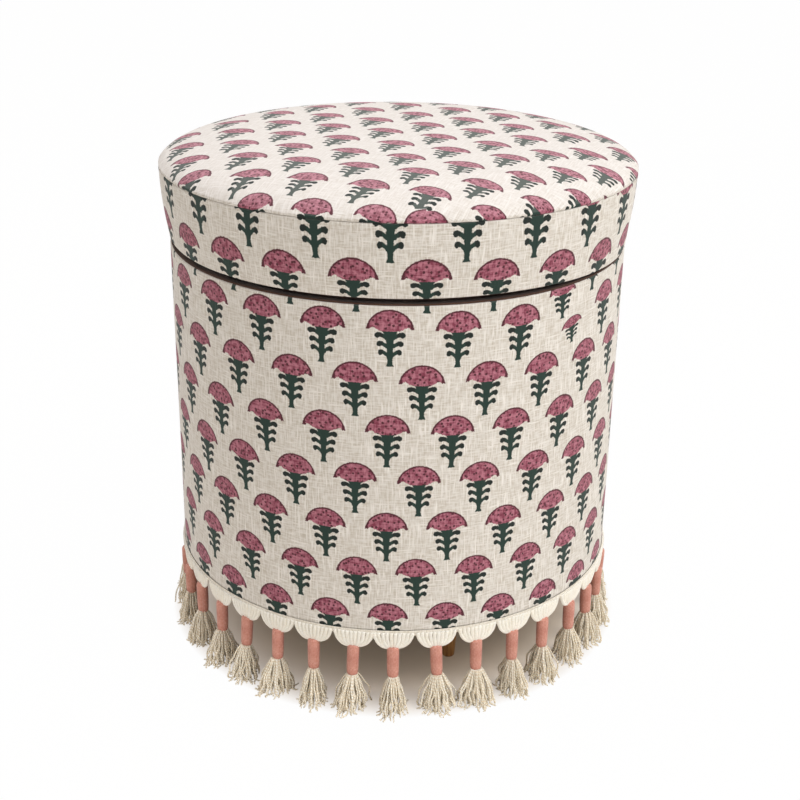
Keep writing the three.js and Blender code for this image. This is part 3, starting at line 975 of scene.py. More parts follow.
# the foam is in the way of anything that would move inwards
far = np.maximum((moved * outwards).sum(-1, keepdims=True), 0)
print("moved before the cap, in mm:", np.percentile(far, [5, 50, 95]).round(2))
bent += twice_as_fine(MOST_MOVED * np.tanh(far / MOST_MOVED) * outwards)
bent_xy, bent_height = bent[..., :2], bent[..., 2]
print("top of the lid at", round(float(bent_height.max()), 1), "mm")

# %% [markdown]
# The top panel is cut from the same cloth, but laid with its rows at a slant, so its sprigs
# point to the back and to the right. Sewing and the foam pull some of them out of line. As on
# the drum, each point looks the print up a little away from where it lies. The short list
# below says where a sprig strays, and the points near it follow by how close they are.

# %% Sprigs that stray
STRAY_REACH = 20  # mm round a sprig that stray with it
# Sprigs that strayed most: middle of the head, and mm to the right and to the back.
TOP_STRAYS = np.array(
    [
        (-11, -206, -5, 4.5),
        (-58, -189, -5, -1),
        (26, -178, -1, 7.5),
        (72, -201, 0, 8),
        (110, -179, 2, 8),
        (145, -157, 1, 13),
        (-106, -175, -4, 3),
        (64, -152, 4.5, 1),
        (18, -129, 1.5, 4),
        (-162, -119, -1.5, 9),
        (-124, -81, 4.5, 2),
        (90, -78, 3, 4),
        (162, -36, -1.5, -8),
        (116, -5, -5, 3),
        (-67, -141, -1, -1),
        (-20, -158, 1, -2),
        (100, -128, 2, 0),
        (-114, -128, 1.5, 1.5),
    ]
)
EXTRA_SPRIG = (23, -208)  # one more head is printed across the seam at the front
print("straying sprigs:", len(TOP_STRAYS))

# %% The print on the top panel
TOP_TURN = math.radians(20.6)  # the sprigs on top point to the back and this much to the right
TOP_PITCH = 49.6
TOP_ROW_STEP = 39.3
TOP_HEAD = (-69.0, -140.5)  # middle of one flower head on the top
TOP_RIGHT = np.array([math.cos(TOP_TURN), -math.sin(TOP_TURN)])
TOP_BACK = np.array([math.sin(TOP_TURN), math.cos(TOP_TURN)])


def top_print(flat):
    """Flat cloth (u, v) on the top panel, turned so that the sprigs point to the back right."""
    gaps = np.linalg.norm(flat[..., None, :] - TOP_STRAYS[:, :2], axis=-1)
    near = np.exp(-((gaps / STRAY_REACH) ** 2))
    stray = near @ TOP_STRAYS[:, 2:] / (near.sum(-1) + 0.15)[..., None]
    a, b = np.clip(flat[..., 0] / DRUM_RADIUS, -0.85, 0.85), flat[..., 1] / DRUM_RADIUS
    pulled_right = 3 - 2.2 * a + 0.4 * b - 4.7 * a * b - 4.1 * a * a
    pulled_back = 9.3 - 6 * a - 31 * a * a + 11.9 * b
    pulled = np.stack([pulled_right, pulled_back], -1)
    away = flat - pulled - stray - np.array(TOP_HEAD)
    u = away @ TOP_RIGHT * PITCH / TOP_PITCH
    v = away @ TOP_BACK * ROW / TOP_ROW_STEP + HEAD_MIDDLE
    uv = np.stack([u, v], -1)
    extra = flat - np.array(EXTRA_SPRIG)
    middle = extra.mean(-2)
    inside = (abs(middle[..., 0]) < 20) & (middle[..., 1] < 8.5)
    uv[inside] = (extra + (0, HEAD_MIDDLE))[inside]
    return uv


print("the print under one head on the top:", top_print(np.array([[TOP_HEAD]]))[0, 0].round(1))

# %% Top panel of the lid
lid_top = disc_piece("lid_top_cloth", bent_xy, bent_height, printed_linen)
count = len(flat_xy)
_, row, column = grid_faces(count, count, round_columns=False)
flat_corners = flat_xy[row, column]
threads_at = np.stack([flat_corners @ TOP_RIGHT, flat_corners @ TOP_BACK], -1)
lid_top.data.uv_layers["cloth_mm"].data.foreach_set("uv", threads_at.astype(np.float32).ravel())
lay_print(lid_top, top_print(flat_corners))
lid_top.modifiers.new("cloth thickness", "SOLIDIFY").thickness = CLOTH * MM
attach(lid_top, "lid")
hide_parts("lid_top_panel")
print("top panel points:", len(lid_top.data.vertices))

# %% [markdown]
# The fringe is cotton yarn. Each scallop of its heading is a fan of thick yarn that is caught
# in the drum's hem along the top and gathered into the neck of a tassel below. Hair particles
# could make yarn, but a tube drawn along every strand's path keeps each strand where it belongs
# and comes out as an ordinary mesh. The ply of the yarn is a stripe that winds round the tube.

# %% Cream cotton yarn
PLY_STEP = 2.6  # from one turn of the ply to the next, in mm


def yarn(name, pale, cream, deep, flat):
    """Plied cotton. u is the share of the way round plus the strand's number; v is mm along.

    A higher flat, from 0 to 1, hides the turns of the ply.
    """
    made, tree, shader = new_material(name, Roughness=0.92, Sheen_Weight=0.2, Sheen_Roughness=0.6)
    place = add(tree, "UVMap", uv_map="cloth_mm")
    strand = add(tree, "SeparateXYZ", {0: place})
    wind = {0: strand.outputs["Y"], 1: 1 / PLY_STEP, 2: strand.outputs["X"]}
    wind = add(tree, "Math", wind, operation="MULTIPLY_ADD")
    turn = add(tree, "Math", {0: wind, 1: 2 * math.pi}, operation="MULTIPLY")
    wave = add(tree, "Math", {0: turn}, operation="SINE")
    ply = add(tree, "MapRange", {"Value": wave, "From Min": -1.0, "From Max": 0.6, "To Min": flat})
    number = add(tree, "Math", {0: strand.outputs["X"]}, operation="FLOOR")
    own = add(tree, "TexWhiteNoise", {"W": number}, noise_dimensions="1D")
    fine = {"Vector": place, "Scale": 1.6, "Detail": 3.0}
    fibres = add(tree, "TexNoise", fine, noise_dimensions="2D")
    tones = {"Factor": own.outputs["Value"], "A": colour(cream), "B": colour(pale)}
    tone = add(tree, "Mix", tones, data_type="RGBA").outputs["Result"]
    height = add(tree, "Math", {0: ply, 1: fibres.outputs["Fac"]}, operation="MULTIPLY")
    # painted shade: where the ply and the fibres sink, the colour goes to deep, for the shade
    # between the plies
    share = add(tree, "MapRange", {"Value": height, "From Min": 0.05, "From Max": 0.38})
    shaded = {"Factor": share, "A": colour(deep), "B": tone}
    shaded = add(tree, "Mix", shaded, data_type="RGBA").outputs["Result"]
    tree.links.new(shaded, shader.inputs["Base Color"])
    bump = add(tree, "Bump", {"Height": height, "Strength": 0.5, "Distance": 0.3 * MM})
    tree.links.new(bump.outputs[0], shader.inputs["Normal"])
    return made


# Bleached cotton, packed tight: nearly white, with turns of the ply that hardly show.
heading_yarn = yarn("bleached_cotton_yarn", "#fffdf6", "#fffbf0", "#f6ecd8", 0.65)
# Cream cotton, hanging loose: every yarn a little different, with tan shade between the plies.
cotton_yarn = yarn("cream_cotton_yarn", "#fffcf1", "#fbf3e1", "#dfc69c", 0.35)
print("yarns:", heading_yarn.name, cotton_yarn.name)

# %% Strands: a tube along every path
STRAND_SIDES = 6


def strands(name, paths, radii, finish):
    """One mesh of tubes. paths is strands x points x 3 in mm, radii is strands x points in mm."""
    paths, radii = np.asarray(paths, float), np.asarray(radii, float)
    many, length, _ = paths.shape
    ahead = np.gradient(paths, axis=1)
    ahead /= np.linalg.norm(ahead, axis=2, keepdims=True)
    side = np.cross(ahead, np.array([0.31, 0.87, 0.12]))
    side /= np.linalg.norm(side, axis=2, keepdims=True)
    across = np.cross(ahead, side)
    turn = np.linspace(0, 2 * math.pi, STRAND_SIDES + 1)[:-1]
    ring = (
        side[:, :, None] * np.cos(turn)[:, None] + across[:, :, None] * np.sin(turn)[:, None]
    ) * radii[:, :, None, None]
    points = (paths[:, :, None] + ring).reshape(-1, 3)
    one, row, column = grid_faces(length, STRAND_SIDES)
    one, per_strand = np.array(one), length * STRAND_SIDES
    steps = np.linalg.norm(np.diff(paths, axis=1), axis=2)
    along = np.concatenate([np.zeros((many, 1)), np.cumsum(steps, axis=1)], 1)
    faces, uv = [], []
    for k in range(many):
        faces += (one + k * per_strand).tolist()
        uv.append(np.stack([column / STRAND_SIDES * 0.999 + k, along[k][row]], -1).reshape(-1, 2))
        for end, order in ((0, -1), (length - 1, 1)):
            first = k * per_strand + end * STRAND_SIDES
            faces.append([first + n for n in range(STRAND_SIDES)][::order])
            uv.append(np.full((STRAND_SIDES, 2), (k + 0.5, along[k, end])))
    return surface(name, points, faces, np.concatenate(uv), finish)


def stood_round(local, angle, radius, level):
    """Moves points from a tassel's own place, where +Y points inwards, to its place on the drum."""
    x, y, z = local[..., 0], local[..., 1], local[..., 2]
    far = radius - y
    right = far * math.sin(angle) + x * math.cos(angle)
    back = -far * math.cos(angle) + x * math.sin(angle)
    return np.stack([right, back, z + level], -1)


print("a quarter turn to the right:", stood_round(np.zeros(3), math.pi / 2, 100, 5).round(1))

# %% Heading of the fringe: a fan of yarn in every scallop
TASSELS = 35
FRINGE_TOP = 74.6
TASSEL_TOP = 60.8
TASSEL_RADIUS = 198.9
FAN_YARNS = 10
FAN_YARN_RADIUS = 1.85
FAN_POINTS = 11  # along each yarn
FAN_CLOSED = 0.27  # width of the gathered end, as a share of the open one
SCALLOP_HALF = 15.8

# the tassels are sewn on by eye: shares of a step by which each stands to the right, for
# most of them and for the eleven in front, counted from the left
STRAY = 0.1
FRONT_STRAYS = (0.18, 0.17, 0.14, 0.11, STRAY, 0.04, 0.06, 0.07, 0.07, 0.05, 0.13)
STRAYS = dict(zip(range(-5, 6), FRONT_STRAYS))


def tassel_angle(i):
    """Angle of tassel i round the drum, from the front and to the right."""
    near = (i + TASSELS // 2) % TASSELS - TASSELS // 2
    return 2 * math.pi * (i + STRAYS.get(near, STRAY)) / TASSELS


lots = np.random.default_rng(21)
fan_paths, fan_radii = [], []
for i in range(TASSELS):
    angle = tassel_angle(i)
    for k in range(FAN_YARNS):
        start = SCALLOP_HALF * (2 * k / (FAN_YARNS - 1) - 1)
        t = np.linspace(0, 1, FAN_POINTS) * math.pi / 2
        gather = FAN_CLOSED + (1 - FAN_CLOSED) * np.cos(t) ** 1.15
        x = start * gather + lots.normal(0, 0.12, FAN_POINTS)
        # the next strand lies behind or before this one where the fan closes
        y = (0.5 if k % 2 else -0.35) * (1 - gather) + 0.25 * abs(start) / SCALLOP_HALF
        z = FRINGE_TOP + 0.3 - (FRINGE_TOP - TASSEL_TOP + 1.0) * np.sin(t)
        y = y - 1.7 * np.cos(t) ** 0.7
        # the scallop follows the drum's curve
        bow = x**2 / (2 * TASSEL_RADIUS)
        fan_paths.append(stood_round(np.stack([x, y + bow, z], -1), angle, TASSEL_RADIUS, 0))
        fan_radii.append(FAN_YARN_RADIUS * (1 - 0.12 * np.sin(t)) * lots.uniform(0.93, 1.07))
heading = strands("fringe_heading_yarn", fan_paths, fan_radii, heading_yarn)
print("heading points:", len(heading.data.vertices))

# %% [markdown]
# The fans are sewn to a calico tape, which is folded under the drum. Only a narrow lip of it
# shows, above the scallops. It is turned like the other bands, from an outline that follows
# the fold. Calico is unbleached cotton in an even, plain weave, and two noises, each drawn
# out along one direction, make it. The well and the lid are lined with the same cloth.

# %% The woven tape that carries the fans
# from under the hem outwards, down to the fold, up over the edge of the cover, and back
tape_outline = rounded(
    [
        (186.2, 73.4),
        (196.6, 73.3),
        (197.6, 72.6, 0.5),
        (198.4, 71.0),
        (199.3, 71.0, 0.4),
        (200.9, 74.0, 0.5),
        (200.9, 77.0, 0.3),
        (200.4, 77.0, 0.2),
        (200.4, 74.5, 0.2),
        (186.2, 74.5),
    ],
    3,
)
tape = turned("fringe_tape", tape_outline, None, columns=160, closed=True)
print("tape points:", len(tape.data.vertices))

# %% Calico
CALICO_THREAD = 0.9  # real threads are 0.4 mm apart, too fine to show
CALICO_ALONG = 0.12  # turns of the noise in a mm along a thread

# Unbleached cotton, plain woven: matt, warm white, with a soft even grain and no slubs.
calico, tree, calico_shader = new_material("calico", Roughness=0.9, Sheen_Weight=0.1)
calico_uv = add(tree, "UVMap", uv_map="cloth_mm")
calico_threads = []
for direction in ((1 / CALICO_THREAD, CALICO_ALONG, 0), (CALICO_ALONG, 1 / CALICO_THREAD, 0)):
    stretched = add(tree, "VectorMath", {0: calico_uv, 1: direction}, operation="MULTIPLY")
    fine = {"Vector": stretched, "Scale": 1.0, "Detail": 2.0}
    calico_threads.append(add(tree, "TexNoise", fine, noise_dimensions="2D"))
calico_weave = add(
    tree, "Math", {i: calico_threads[i].outputs["Fac"] for i in (0, 1)}, operation="ADD"
)
calico_share = add(tree, "MapRange", {"Value": calico_weave, "From Min": 0.7, "From Max": 1.2})
calico_tones = {"Factor": calico_share, "A": colour("#e0d8c8"), "B": colour("#f6f1e7")}
calico_tone = add(tree, "Mix", calico_tones, data_type="RGBA")
tree.links.new(calico_tone.outputs["Result"], calico_shader.inputs["Base Color"])
calico_bump = add(tree, "Bump", {"Height": calico_weave, "Strength": 0.4, "Distance": 0.15 * MM})
tree.links.new(calico_bump.outputs[0], calico_shader.inputs["Normal"])

tape.data.materials.append(calico)
for piece in (heading, tape):
    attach(piece, "drum")
    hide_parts("fringe_heading")
print("calico nodes:", len(tree.nodes))

# %% [markdown]
# Each tassel hangs from the lowest point of its scallop. Its neck is wound with coral thread,
# turn against turn, and the ends of the yarn open below it into a ragged skirt. Eight skirts
# are made by chance from fixed seeds, and every tassel uses one of them at its own turn, so no
# two neighbours look alike. None hangs quite plumb. The ones in front lean out by about two
# degrees and stand widest, pushed by the floor, and the ones at the sides and back hang close
# in. A knot and a cone would stand in for a tassel from afar, but the eye counts yarns here.

# %% Coral thread
THREAD_TURN = 1.25  # drawn coarse: the real thread is 0.6 mm thick
THREAD_RELIEF = 0.12  # mm that a turn of thread stands proud

# Mercerised cotton, wound: it keeps a soft shine along each turn, and its dye varies in bands.
coral_thread, tree, coral_shader = new_material(
    "coral_cotton_thread", Roughness=0.62, Sheen_Weight=0.25, Sheen_Roughness=0.4
)
neck_uv = add(tree, "UVMap", uv_map="cloth_mm")
neck_place = add(tree, "SeparateXYZ", {0: neck_uv})
wound = {0: neck_place.outputs["Y"], 1: 2 * math.pi / THREAD_TURN}
coil = add(tree, "Math", wound, operation="MULTIPLY")
coil_wave = add(tree, "Math", {0: coil}, operation="COSINE")
coil_share = add(tree, "MapRange", {"Value": coil_wave, "From Min": -1.0, "From Max": 0.4})
banded = add(tree, "VectorMath", {0: neck_uv, 1: (0.02, 0.45, 0)}, operation="MULTIPLY")
dyed = {"Vector": banded, "Scale": 1.0, "Detail": 2.0}
neck_noise = add(tree, "TexNoise", dyed, noise_dimensions="2D").outputs["Fac"]
neck_patch = add(tree, "MapRange", {"Value": neck_noise, "From Min": 0.25, "From Max": 0.75})
neck_tones = {"Factor": neck_patch, "A": colour("#d7937f"), "B": colour("#edb5a5")}
neck_tone = add(tree, "Mix", neck_tones, data_type="RGBA").outputs["Result"]
# painted shade: between the turns the coral is drawn darker, for the shade in the grooves
groove_shade = {"Factor": coil_share, "A": colour("#bb7163"), "B": neck_tone}
neck_colour = add(tree, "Mix", groove_shade, data_type="RGBA")
tree.links.new(neck_colour.outputs["Result"], coral_shader.inputs["Base Color"])
neck_relief = {"Height": coil_wave, "Strength": 0.5, "Distance": THREAD_RELIEF * MM}
neck_bump = add(tree, "Bump", neck_relief)
tree.links.new(neck_bump.outputs[0], coral_shader.inputs["Normal"])
print("coral nodes:", len(tree.nodes))

# %% The wound neck
NECK_RADIUS = 5.2
NECK_LENGTH = 29.2
SKIRT_LENGTH = 31.3  # from the neck to the floor


def neck_mesh():
    """A tassel's neck, hanging from z = 0, with a ridge for every turn of thread."""
    z = np.linspace(0, NECK_LENGTH, int(NECK_LENGTH / THREAD_TURN * 4) + 1)
    share = z / NECK_LENGTH
    ends = np.minimum(z, NECK_LENGTH - z)
    ridge = THREAD_RELIEF * np.cos(2 * math.pi * z / THREAD_TURN)
    # rounded ends, a slimmer foot, and sides that belly by a hair
    bulge = NECK_RADIUS - 1.2 * np.exp(-ends / 0.9) - 0.5 * share**4 + ridge
    outline = np.stack([bulge - 0.25 * (share - 0.5) ** 2, -z], -1)
    outline = np.concatenate([[(0.4, 0.1)], outline, [(0.4, -NECK_LENGTH + 0.1)]])
    made = turned("neck", outline, coral_thread, columns=16)
    mesh = made.data
    bpy.data.objects.remove(made)
    return mesh


necks = neck_mesh()
print("neck points:", len(necks.vertices))

# %% The skirts
SKIRT_KINDS = 8
SKIRT_YARNS = 64
SKIRT_POINTS = 20
SKIRT_SPREAD = 16.5
SKIRT_YARN_RADIUS = 0.8
YARN_TURN = 2.4  # radians from one yarn to the next, which spreads them like seeds in a head
CRIMP = 1.15  # mm that spun yarn waves to each side
SWAY = 2.5  # mm that its ends wander


def skirt_mesh(seed):
    """A tassel's skirt below z = 0: yarn that leaves the neck close together and opens out."""
    lots = np.random.default_rng(seed)
    paths, radii = [], []
    t = np.linspace(0, 1, SKIRT_POINTS)
    for k in range(SKIRT_YARNS):
        share = math.sqrt((k + 0.5) / SKIRT_YARNS)
        angle = YARN_TURN * k + lots.normal(0, 0.2)
        start = (NECK_RADIUS - 0.9) * share
        out = SKIRT_SPREAD * share**0.8 * lots.uniform(0.66, 1.0)
        length = SKIRT_LENGTH * lots.uniform(0.96, 1.22)
        opens = 1 - (1 - t) ** lots.uniform(1.6, 2.8)
        thick = SKIRT_YARN_RADIUS * lots.uniform(0.85, 1.15)
        hangs = 1.5 - (length + 1.5) * t
        # what is too long lies on the floor and spreads outwards
        lies = np.maximum(thick + 0.15 - SKIRT_LENGTH - hangs, 0)
        radius = start + (out - start) * opens + 0.6 * lies
        # spun yarn keeps a crimp, and its ends wander
        x, y = radius * np.cos(angle), radius * np.sin(angle)
        for way in (x, y):
            crimp = np.sin(t * lots.uniform(9, 17) + lots.uniform(0, 6.3))
            sway = np.sin(t * lots.uniform(2, 6) + lots.uniform(0, 6.3))
            way += t**0.8 * (CRIMP * crimp + SWAY * t * sway * lots.uniform(0.3, 1))
        far = np.hypot(x, y)
        keep = np.minimum(1, (SKIRT_SPREAD + 1.0) / np.maximum(far, 0.1))
        paths.append(np.stack([x * keep, y * keep, hangs + lies], -1))
        radii.append(thick * (1 - 0.3 * (1 - t) ** 3) * (1 - 0.35 * t**12))
    made = strands("skirt", paths, radii, cotton_yarn)
    mesh = made.data
    bpy.data.objects.remove(made)
    return mesh


skirts = [skirt_mesh(100 + k) for k in range(SKIRT_KINDS)]
print("skirt kinds:", len(skirts), "points each:", len(skirts[0].vertices))

# %% Hang the tassels
LEAN_IN = 0.8  # degrees that a tassel at the side or back leans inwards
LEAN_OUT = 2.8  # degrees that the foremost one leans out more than that
LEAN_VARIES = 0.9  # degrees in and out
TILT_VARIES = 1.6  # degrees to the left and right
SKIRT_ACROSS = 0.82  # width of a hanging skirt, as a share of one that spreads freely
SKIRT_DEEP = 0.78  # the same from front to back
FRONT_DEEPER = 0.54  # more of that in front
FRONT_OUT = 1.5  # mm that the foremost skirt is pushed out


def turn_about(axis, degrees):
    """A rotation about an axis of the tassel, in degrees."""
    return Matrix.Rotation(math.radians(degrees), 4, axis)


lots = np.random.default_rng(4)
for i in range(TASSELS):
    angle = tassel_angle(i)
    forward = max(0.0, math.cos(angle))  # the floor spreads the front ones most
    name = f"tassel_{i + 1:02d}"
    home = Matrix.Translation(Vector((0, -TASSEL_RADIUS, TASSEL_TOP)) * MM)
    lean = turn_about("X", lots.normal(LEAN_IN - LEAN_OUT * forward, LEAN_VARIES))
    tilt = turn_about("Y", lots.normal(0, TILT_VARIES))
    hung = Matrix.Rotation(angle, 4, "Z") @ home @ lean @ tilt
    spin = Matrix.Rotation(lots.uniform(0, 2 * math.pi), 4, "Z")
    pushed = Matrix.Translation(Vector((0, -FRONT_OUT * forward, -NECK_LENGTH)) * MM)
    squeeze = Matrix.Diagonal((SKIRT_ACROSS, SKIRT_DEEP + FRONT_DEEPER * forward, 1, 1))
    neck = bpy.data.objects.new(f"{name}_neck", necks)
    skirt = bpy.data.objects.new(f"{name}_skirt", skirts[(3 * i + i // 5) % SKIRT_KINDS])
    for piece, place, slot in (
        (neck, hung, "coral_thread"),
        (skirt, hung @ pushed @ squeeze @ spin, "cotton_yarn"),
    ):
        scene.collection.objects.link(piece)
        piece.matrix_world = place
        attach(piece, "drum")
        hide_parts(name)
print("tassels:", TASSELS)

# %% [markdown]
# The woodwork shows in only a few places: the stained rim in the slot under the lid, the ring
# that centres the lid, and the legs in the shade of the fringe. All of it is beech, turned or
# bent, so the grain is fine, straight and even. Stain darkens the soft bands more than the hard
# ones, which makes the grain stronger. One noise, stretched along the grain, draws the lines,
# and a finer one the flecks, and both also set the shine and a shallow relief.

# %% Wood
GRAIN = 1.6  # mm, the width of a grain line
GRAIN_STRETCH = 18.0  # how much longer than wide the lines are


def wood(name, dark, light, along, **constants):
    """Beech with its grain along an axis of the mesh (0, 1 or 2)."""
    made, tree, shader = new_material(name, **constants)
    place = add(tree, "TexCoord")
    scale = [1 / (GRAIN * MM)] * 3
    scale[along] /= GRAIN_STRETCH
    stretched = add(
        tree, "VectorMath", {0: place.outputs["Object"], 1: scale}, operation="MULTIPLY"
    )
    broad = {"Vector": stretched, "Scale": 0.6, "Detail": 4.0, "Distortion": 0.4}
    lines = add(tree, "TexNoise", broad).outputs["Fac"]
    flecks = add(tree, "TexNoise", {"Vector": stretched, "Scale": 2.4, "Detail": 2.0})
    summed = {0: flecks.outputs["Fac"], 1: 0.35, 2: lines}
    both = add(tree, "Math", summed, operation="MULTIPLY_ADD")
    share = add(tree, "MapRange", {"Value": both, "From Min": 0.5, "From Max": 0.85})
    tones = {"Factor": share, "A": colour(dark), "B": colour(light)}
    tone = add(tree, "Mix", tones, data_type="RGBA")
    tree.links.new(tone.outputs["Result"], shader.inputs["Base Color"])
    rough = add(tree, "MapRange", {"Value": both, "To Min": 0.6, "To Max": 0.42})
    tree.links.new(rough.outputs[0], shader.inputs["Roughness"])
    bump = add(tree, "Bump", {"Height": both, "Strength": 0.3, "Distance": 0.1 * MM})
    tree.links.new(bump.outputs[0], shader.inputs["Normal"])
    return made


# Beech stained dark brown: near black in the slot, and satin where light reaches it.
stained_beech = wood("stained_beech", "#2b160d", "#4c2b18", 0)
# Beech turned on a lathe and waxed: a warm tan with short, straight flecks up the leg.
turned_beech = wood("turned_beech", "#946331", "#c4945a", 2)
print("woods:", stained_beech.name, turned_beech.name)

# %% [markdown]
# The rim ring stiffens the drum's mouth and carries the lid, and the locating ring under the
# lid drops inside it with 2 mm of play. Their edges are eased with sandpaper, because cloth
# and fingers run over them, so each outline has rounded corners. A leg is turned on a lathe,
# and so is its mesh: a taper with a soft foot, and a bolt on top that goes up into the base.

# %% Rim ring and locating ring
RING_TOP = 369  # both rings end here, just under the lid's board


def ring(name, inside, outside, bottom, low_edge, high_edge, high_inside):
    """A wooden ring of rectangular section, with an easing in mm for three of its edges."""
    section = [
        (inside, bottom),
        (outside, bottom, low_edge),
        (outside, RING_TOP, high_edge),
        (inside, RING_TOP, high_inside),
        (inside, bottom + 0.2),
    ]
    return turned(name, rounded(section), stained_beech, closed=True)


rim = ring("rim_ring_wood", 170.9, 188.9, 349, 1, 2, 2)
locating = ring("locating_ring_wood", 157.8, 166.8, 351, 2.5, 0.5, 0.5)
for piece, body, node in ((rim, "drum", "rim_ring"), (locating, "lid", "locating_ring")):
    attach(piece, body)
    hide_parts(node)
print("ring points:", len(rim.data.vertices), len(locating.data.vertices))

# %% Legs
LEG_HEIGHT = 75
LEG_FOOT = 5.5  # radius on the floor
LEG_HEAD = 10.5  # radius under the base
BOLT_RADIUS = 4
BOLT_LENGTH = 10
AXIS_GAP = 0.3  # radius at which a turned end is left open, too small to see

bolt_top = LEG_HEIGHT + BOLT_LENGTH
leg_outline = [
    (AXIS_GAP, 0),
    (LEG_FOOT, 0, 1.5),
    (LEG_HEAD, LEG_HEIGHT, 1.5),
    (BOLT_RADIUS, LEG_HEIGHT),
    (BOLT_RADIUS, bolt_top),
    (AXIS_GAP, bolt_top),
]
for i in range(4):
    low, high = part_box(f"leg_{i + 1}")
    middle = (low + high) / 2
    outline = divided(rounded(leg_outline), 8)
    leg = turned(f"leg_{i + 1}_wood", outline, turned_beech, columns=40)
    leg.location = (middle.x, middle.y, 0)
    bpy.context.view_layer.update()
    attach(leg, "drum")
    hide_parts(f"leg_{i + 1}")
print("leg radii in mm:", LEG_FOOT, "to", LEG_HEAD)

# %% [markdown]
# The cloths inside the stool are plain: unbleached calico in the well and under the lid, and
# thin black cambric under the drum. They are made the way the printed cloth was. The side of
# the well is turned, with the slow waves of cloth that is glued on by hand, and the round
# pieces are discs of the same kind as the top panel.

# %% Linings
WELL_RADIUS = 168.8
WELL_FLOOR = 90.5
WELL_BRIM = 368.7
BRIM_RADIUS = 170.4  # where the lining is turned over the rim
BRIM_TURN = 22  # how far it comes down behind
WELL_GIRTH = 169.5  # mean radius of the side, for its flat length
WELL_DISC = 167.8  # radius of the round piece on the floor
LID_DISC = 187.6  # and of the one under the lid
LID_DISC_LEVEL = 369.9
DISC_POINTS = 61  # along each side of a plain disc's grid
LINING = 0.7  # thickness of the calico


def lining_ripple(angle, height):
    """The lining waves in the depth of the well, and lies still at the brim."""
    return -0.3 - swells(angle, height, 0.5, 31) * np.clip((WELL_BRIM - height) / 20, 0, 1)


def disc_size(radius):
    """Flat size and area of a round cloth, in metres."""
    return {"flat": (2 * radius * MM, 2 * radius * MM), "area": math.pi * (radius * MM) ** 2}


well_outline = divided(
    rounded(
        [
            (BRIM_RADIUS, WELL_BRIM - BRIM_TURN),
            (BRIM_RADIUS, WELL_BRIM - 0.1, 0.7),
            (WELL_RADIUS + 0.3, WELL_BRIM - 0.1, 0.7),
            (WELL_RADIUS, WELL_FLOOR + 1.2, 1),
            (WELL_RADIUS - 3, WELL_FLOOR + 0.4),
        ]
    ),
    9,
)
well_side = turned("well_lining_side", well_outline, calico, columns=192, ripple=lining_ripple)
well_xy = disc_grid(DISC_POINTS, lambda share: WELL_DISC * share)
well_turn = np.arctan2(well_xy[..., 1], well_xy[..., 0])
well_far = np.linalg.norm(well_xy, axis=-1)
well_height = WELL_FLOOR + 0.3 + 0.5 * abs(swells(well_turn, well_far, 1, 17))
well_floor = disc_piece("well_lining_floor", well_xy, well_height, calico)
lid_xy = disc_grid(DISC_POINTS, lambda share: LID_DISC * share)
lid_height = LID_DISC_LEVEL + 0 * lid_xy[..., 0]
lid_lining = disc_piece("lid_lining_cloth", lid_xy, lid_height, calico)
# the side is cut as long as the well is deep, with the turn over the brim and a hem below
side_size = (2 * math.pi * WELL_GIRTH * MM, (WELL_BRIM - WELL_FLOOR + BRIM_TURN + 5) * MM)
for piece, body, node, held, under, size in (
    (well_side, "drum", "well_lining", "stretched", "rim_ring_wood", {"flat": side_size}),
    (well_floor, "drum", "well_lining", "laid", "base_panel", disc_size(WELL_DISC)),
    (lid_lining, "lid", "lid_lining", "stretched", "lid_board", disc_size(LID_DISC)),
):
    piece.modifiers.new("cloth thickness", "SOLIDIFY").thickness = LINING * MM
    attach(piece, body)
    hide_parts(node)
print("linings:", well_side.name, well_floor.name, lid_lining.name)

# %% Black cambric under the drum
CAMBRIC_SPOT = 1.25  # mm between the pressed spots of the felted cloth
DUST_DISC = 177.6
DUST_LEVEL = 75.7

# Thin felted synthetic, pressed with small spots: flat black with a dry, faintly pitted face.
cambric, tree, cambric_shader = new_material("black_cambric", Roughness=0.95)
cambric_uv = add(tree, "UVMap", uv_map="cloth_mm")
spotted = {"Vector": cambric_uv, "Scale": 1 / CAMBRIC_SPOT}
cambric_far = add(tree, "TexVoronoi", spotted, voronoi_dimensions="2D").outputs["Distance"]
cambric_share = add(tree, "MapRange", {"Value": cambric_far, "From Max": 0.8})
cambric_tones = {"Factor": cambric_share, "A": colour("#1b1a1a"), "B": colour("#3a3835")}
cambric_tone = add(tree, "Mix", cambric_tones, data_type="RGBA")
tree.links.new(cambric_tone.outputs["Result"], cambric_shader.inputs["Base Color"])
cambric_relief = {"Height": cambric_far, "Strength": 0.4, "Distance": 0.15 * MM}
cambric_bump = add(tree, "Bump", cambric_relief)
tree.links.new(cambric_bump.outputs[0], cambric_shader.inputs["Normal"])

dust_xy = disc_grid(DISC_POINTS, lambda share: DUST_DISC * share)
dust_cover = disc_piece("dust_cover_cloth", dust_xy, DUST_LEVEL + 0 * dust_xy[..., 0], cambric)
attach(dust_cover, "drum")
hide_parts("dust_cover")
print("dust cover points:", len(dust_cover.data.vertices))

# %% [markdown]
# Two soft fillings lie under the cloth and never show on the closed stool. They are modelled
# all the same, as a loose sleeve of wadding and a block of foam with soft edges, because the
# covers take their shape from them.

# %% Materials of the fillings
# For each: its dark and light tone, lumps in a mm, and their depth in mm.
FILLINGS = {
    # carded polyester: a white fluff of soft lumps, without shine
    "polyester_wadding": ("#d9d8d2", "#f7f6f2", 0.35, 1.2),
    # cut foam: pale yellow, matt, with open cells as fine as grit
    "upholstery_foam": ("#cdbf86", "#eadfa9", 1.3, 0.4),
}
TO_MM = (1 / MM, 1 / MM, 1 / MM)

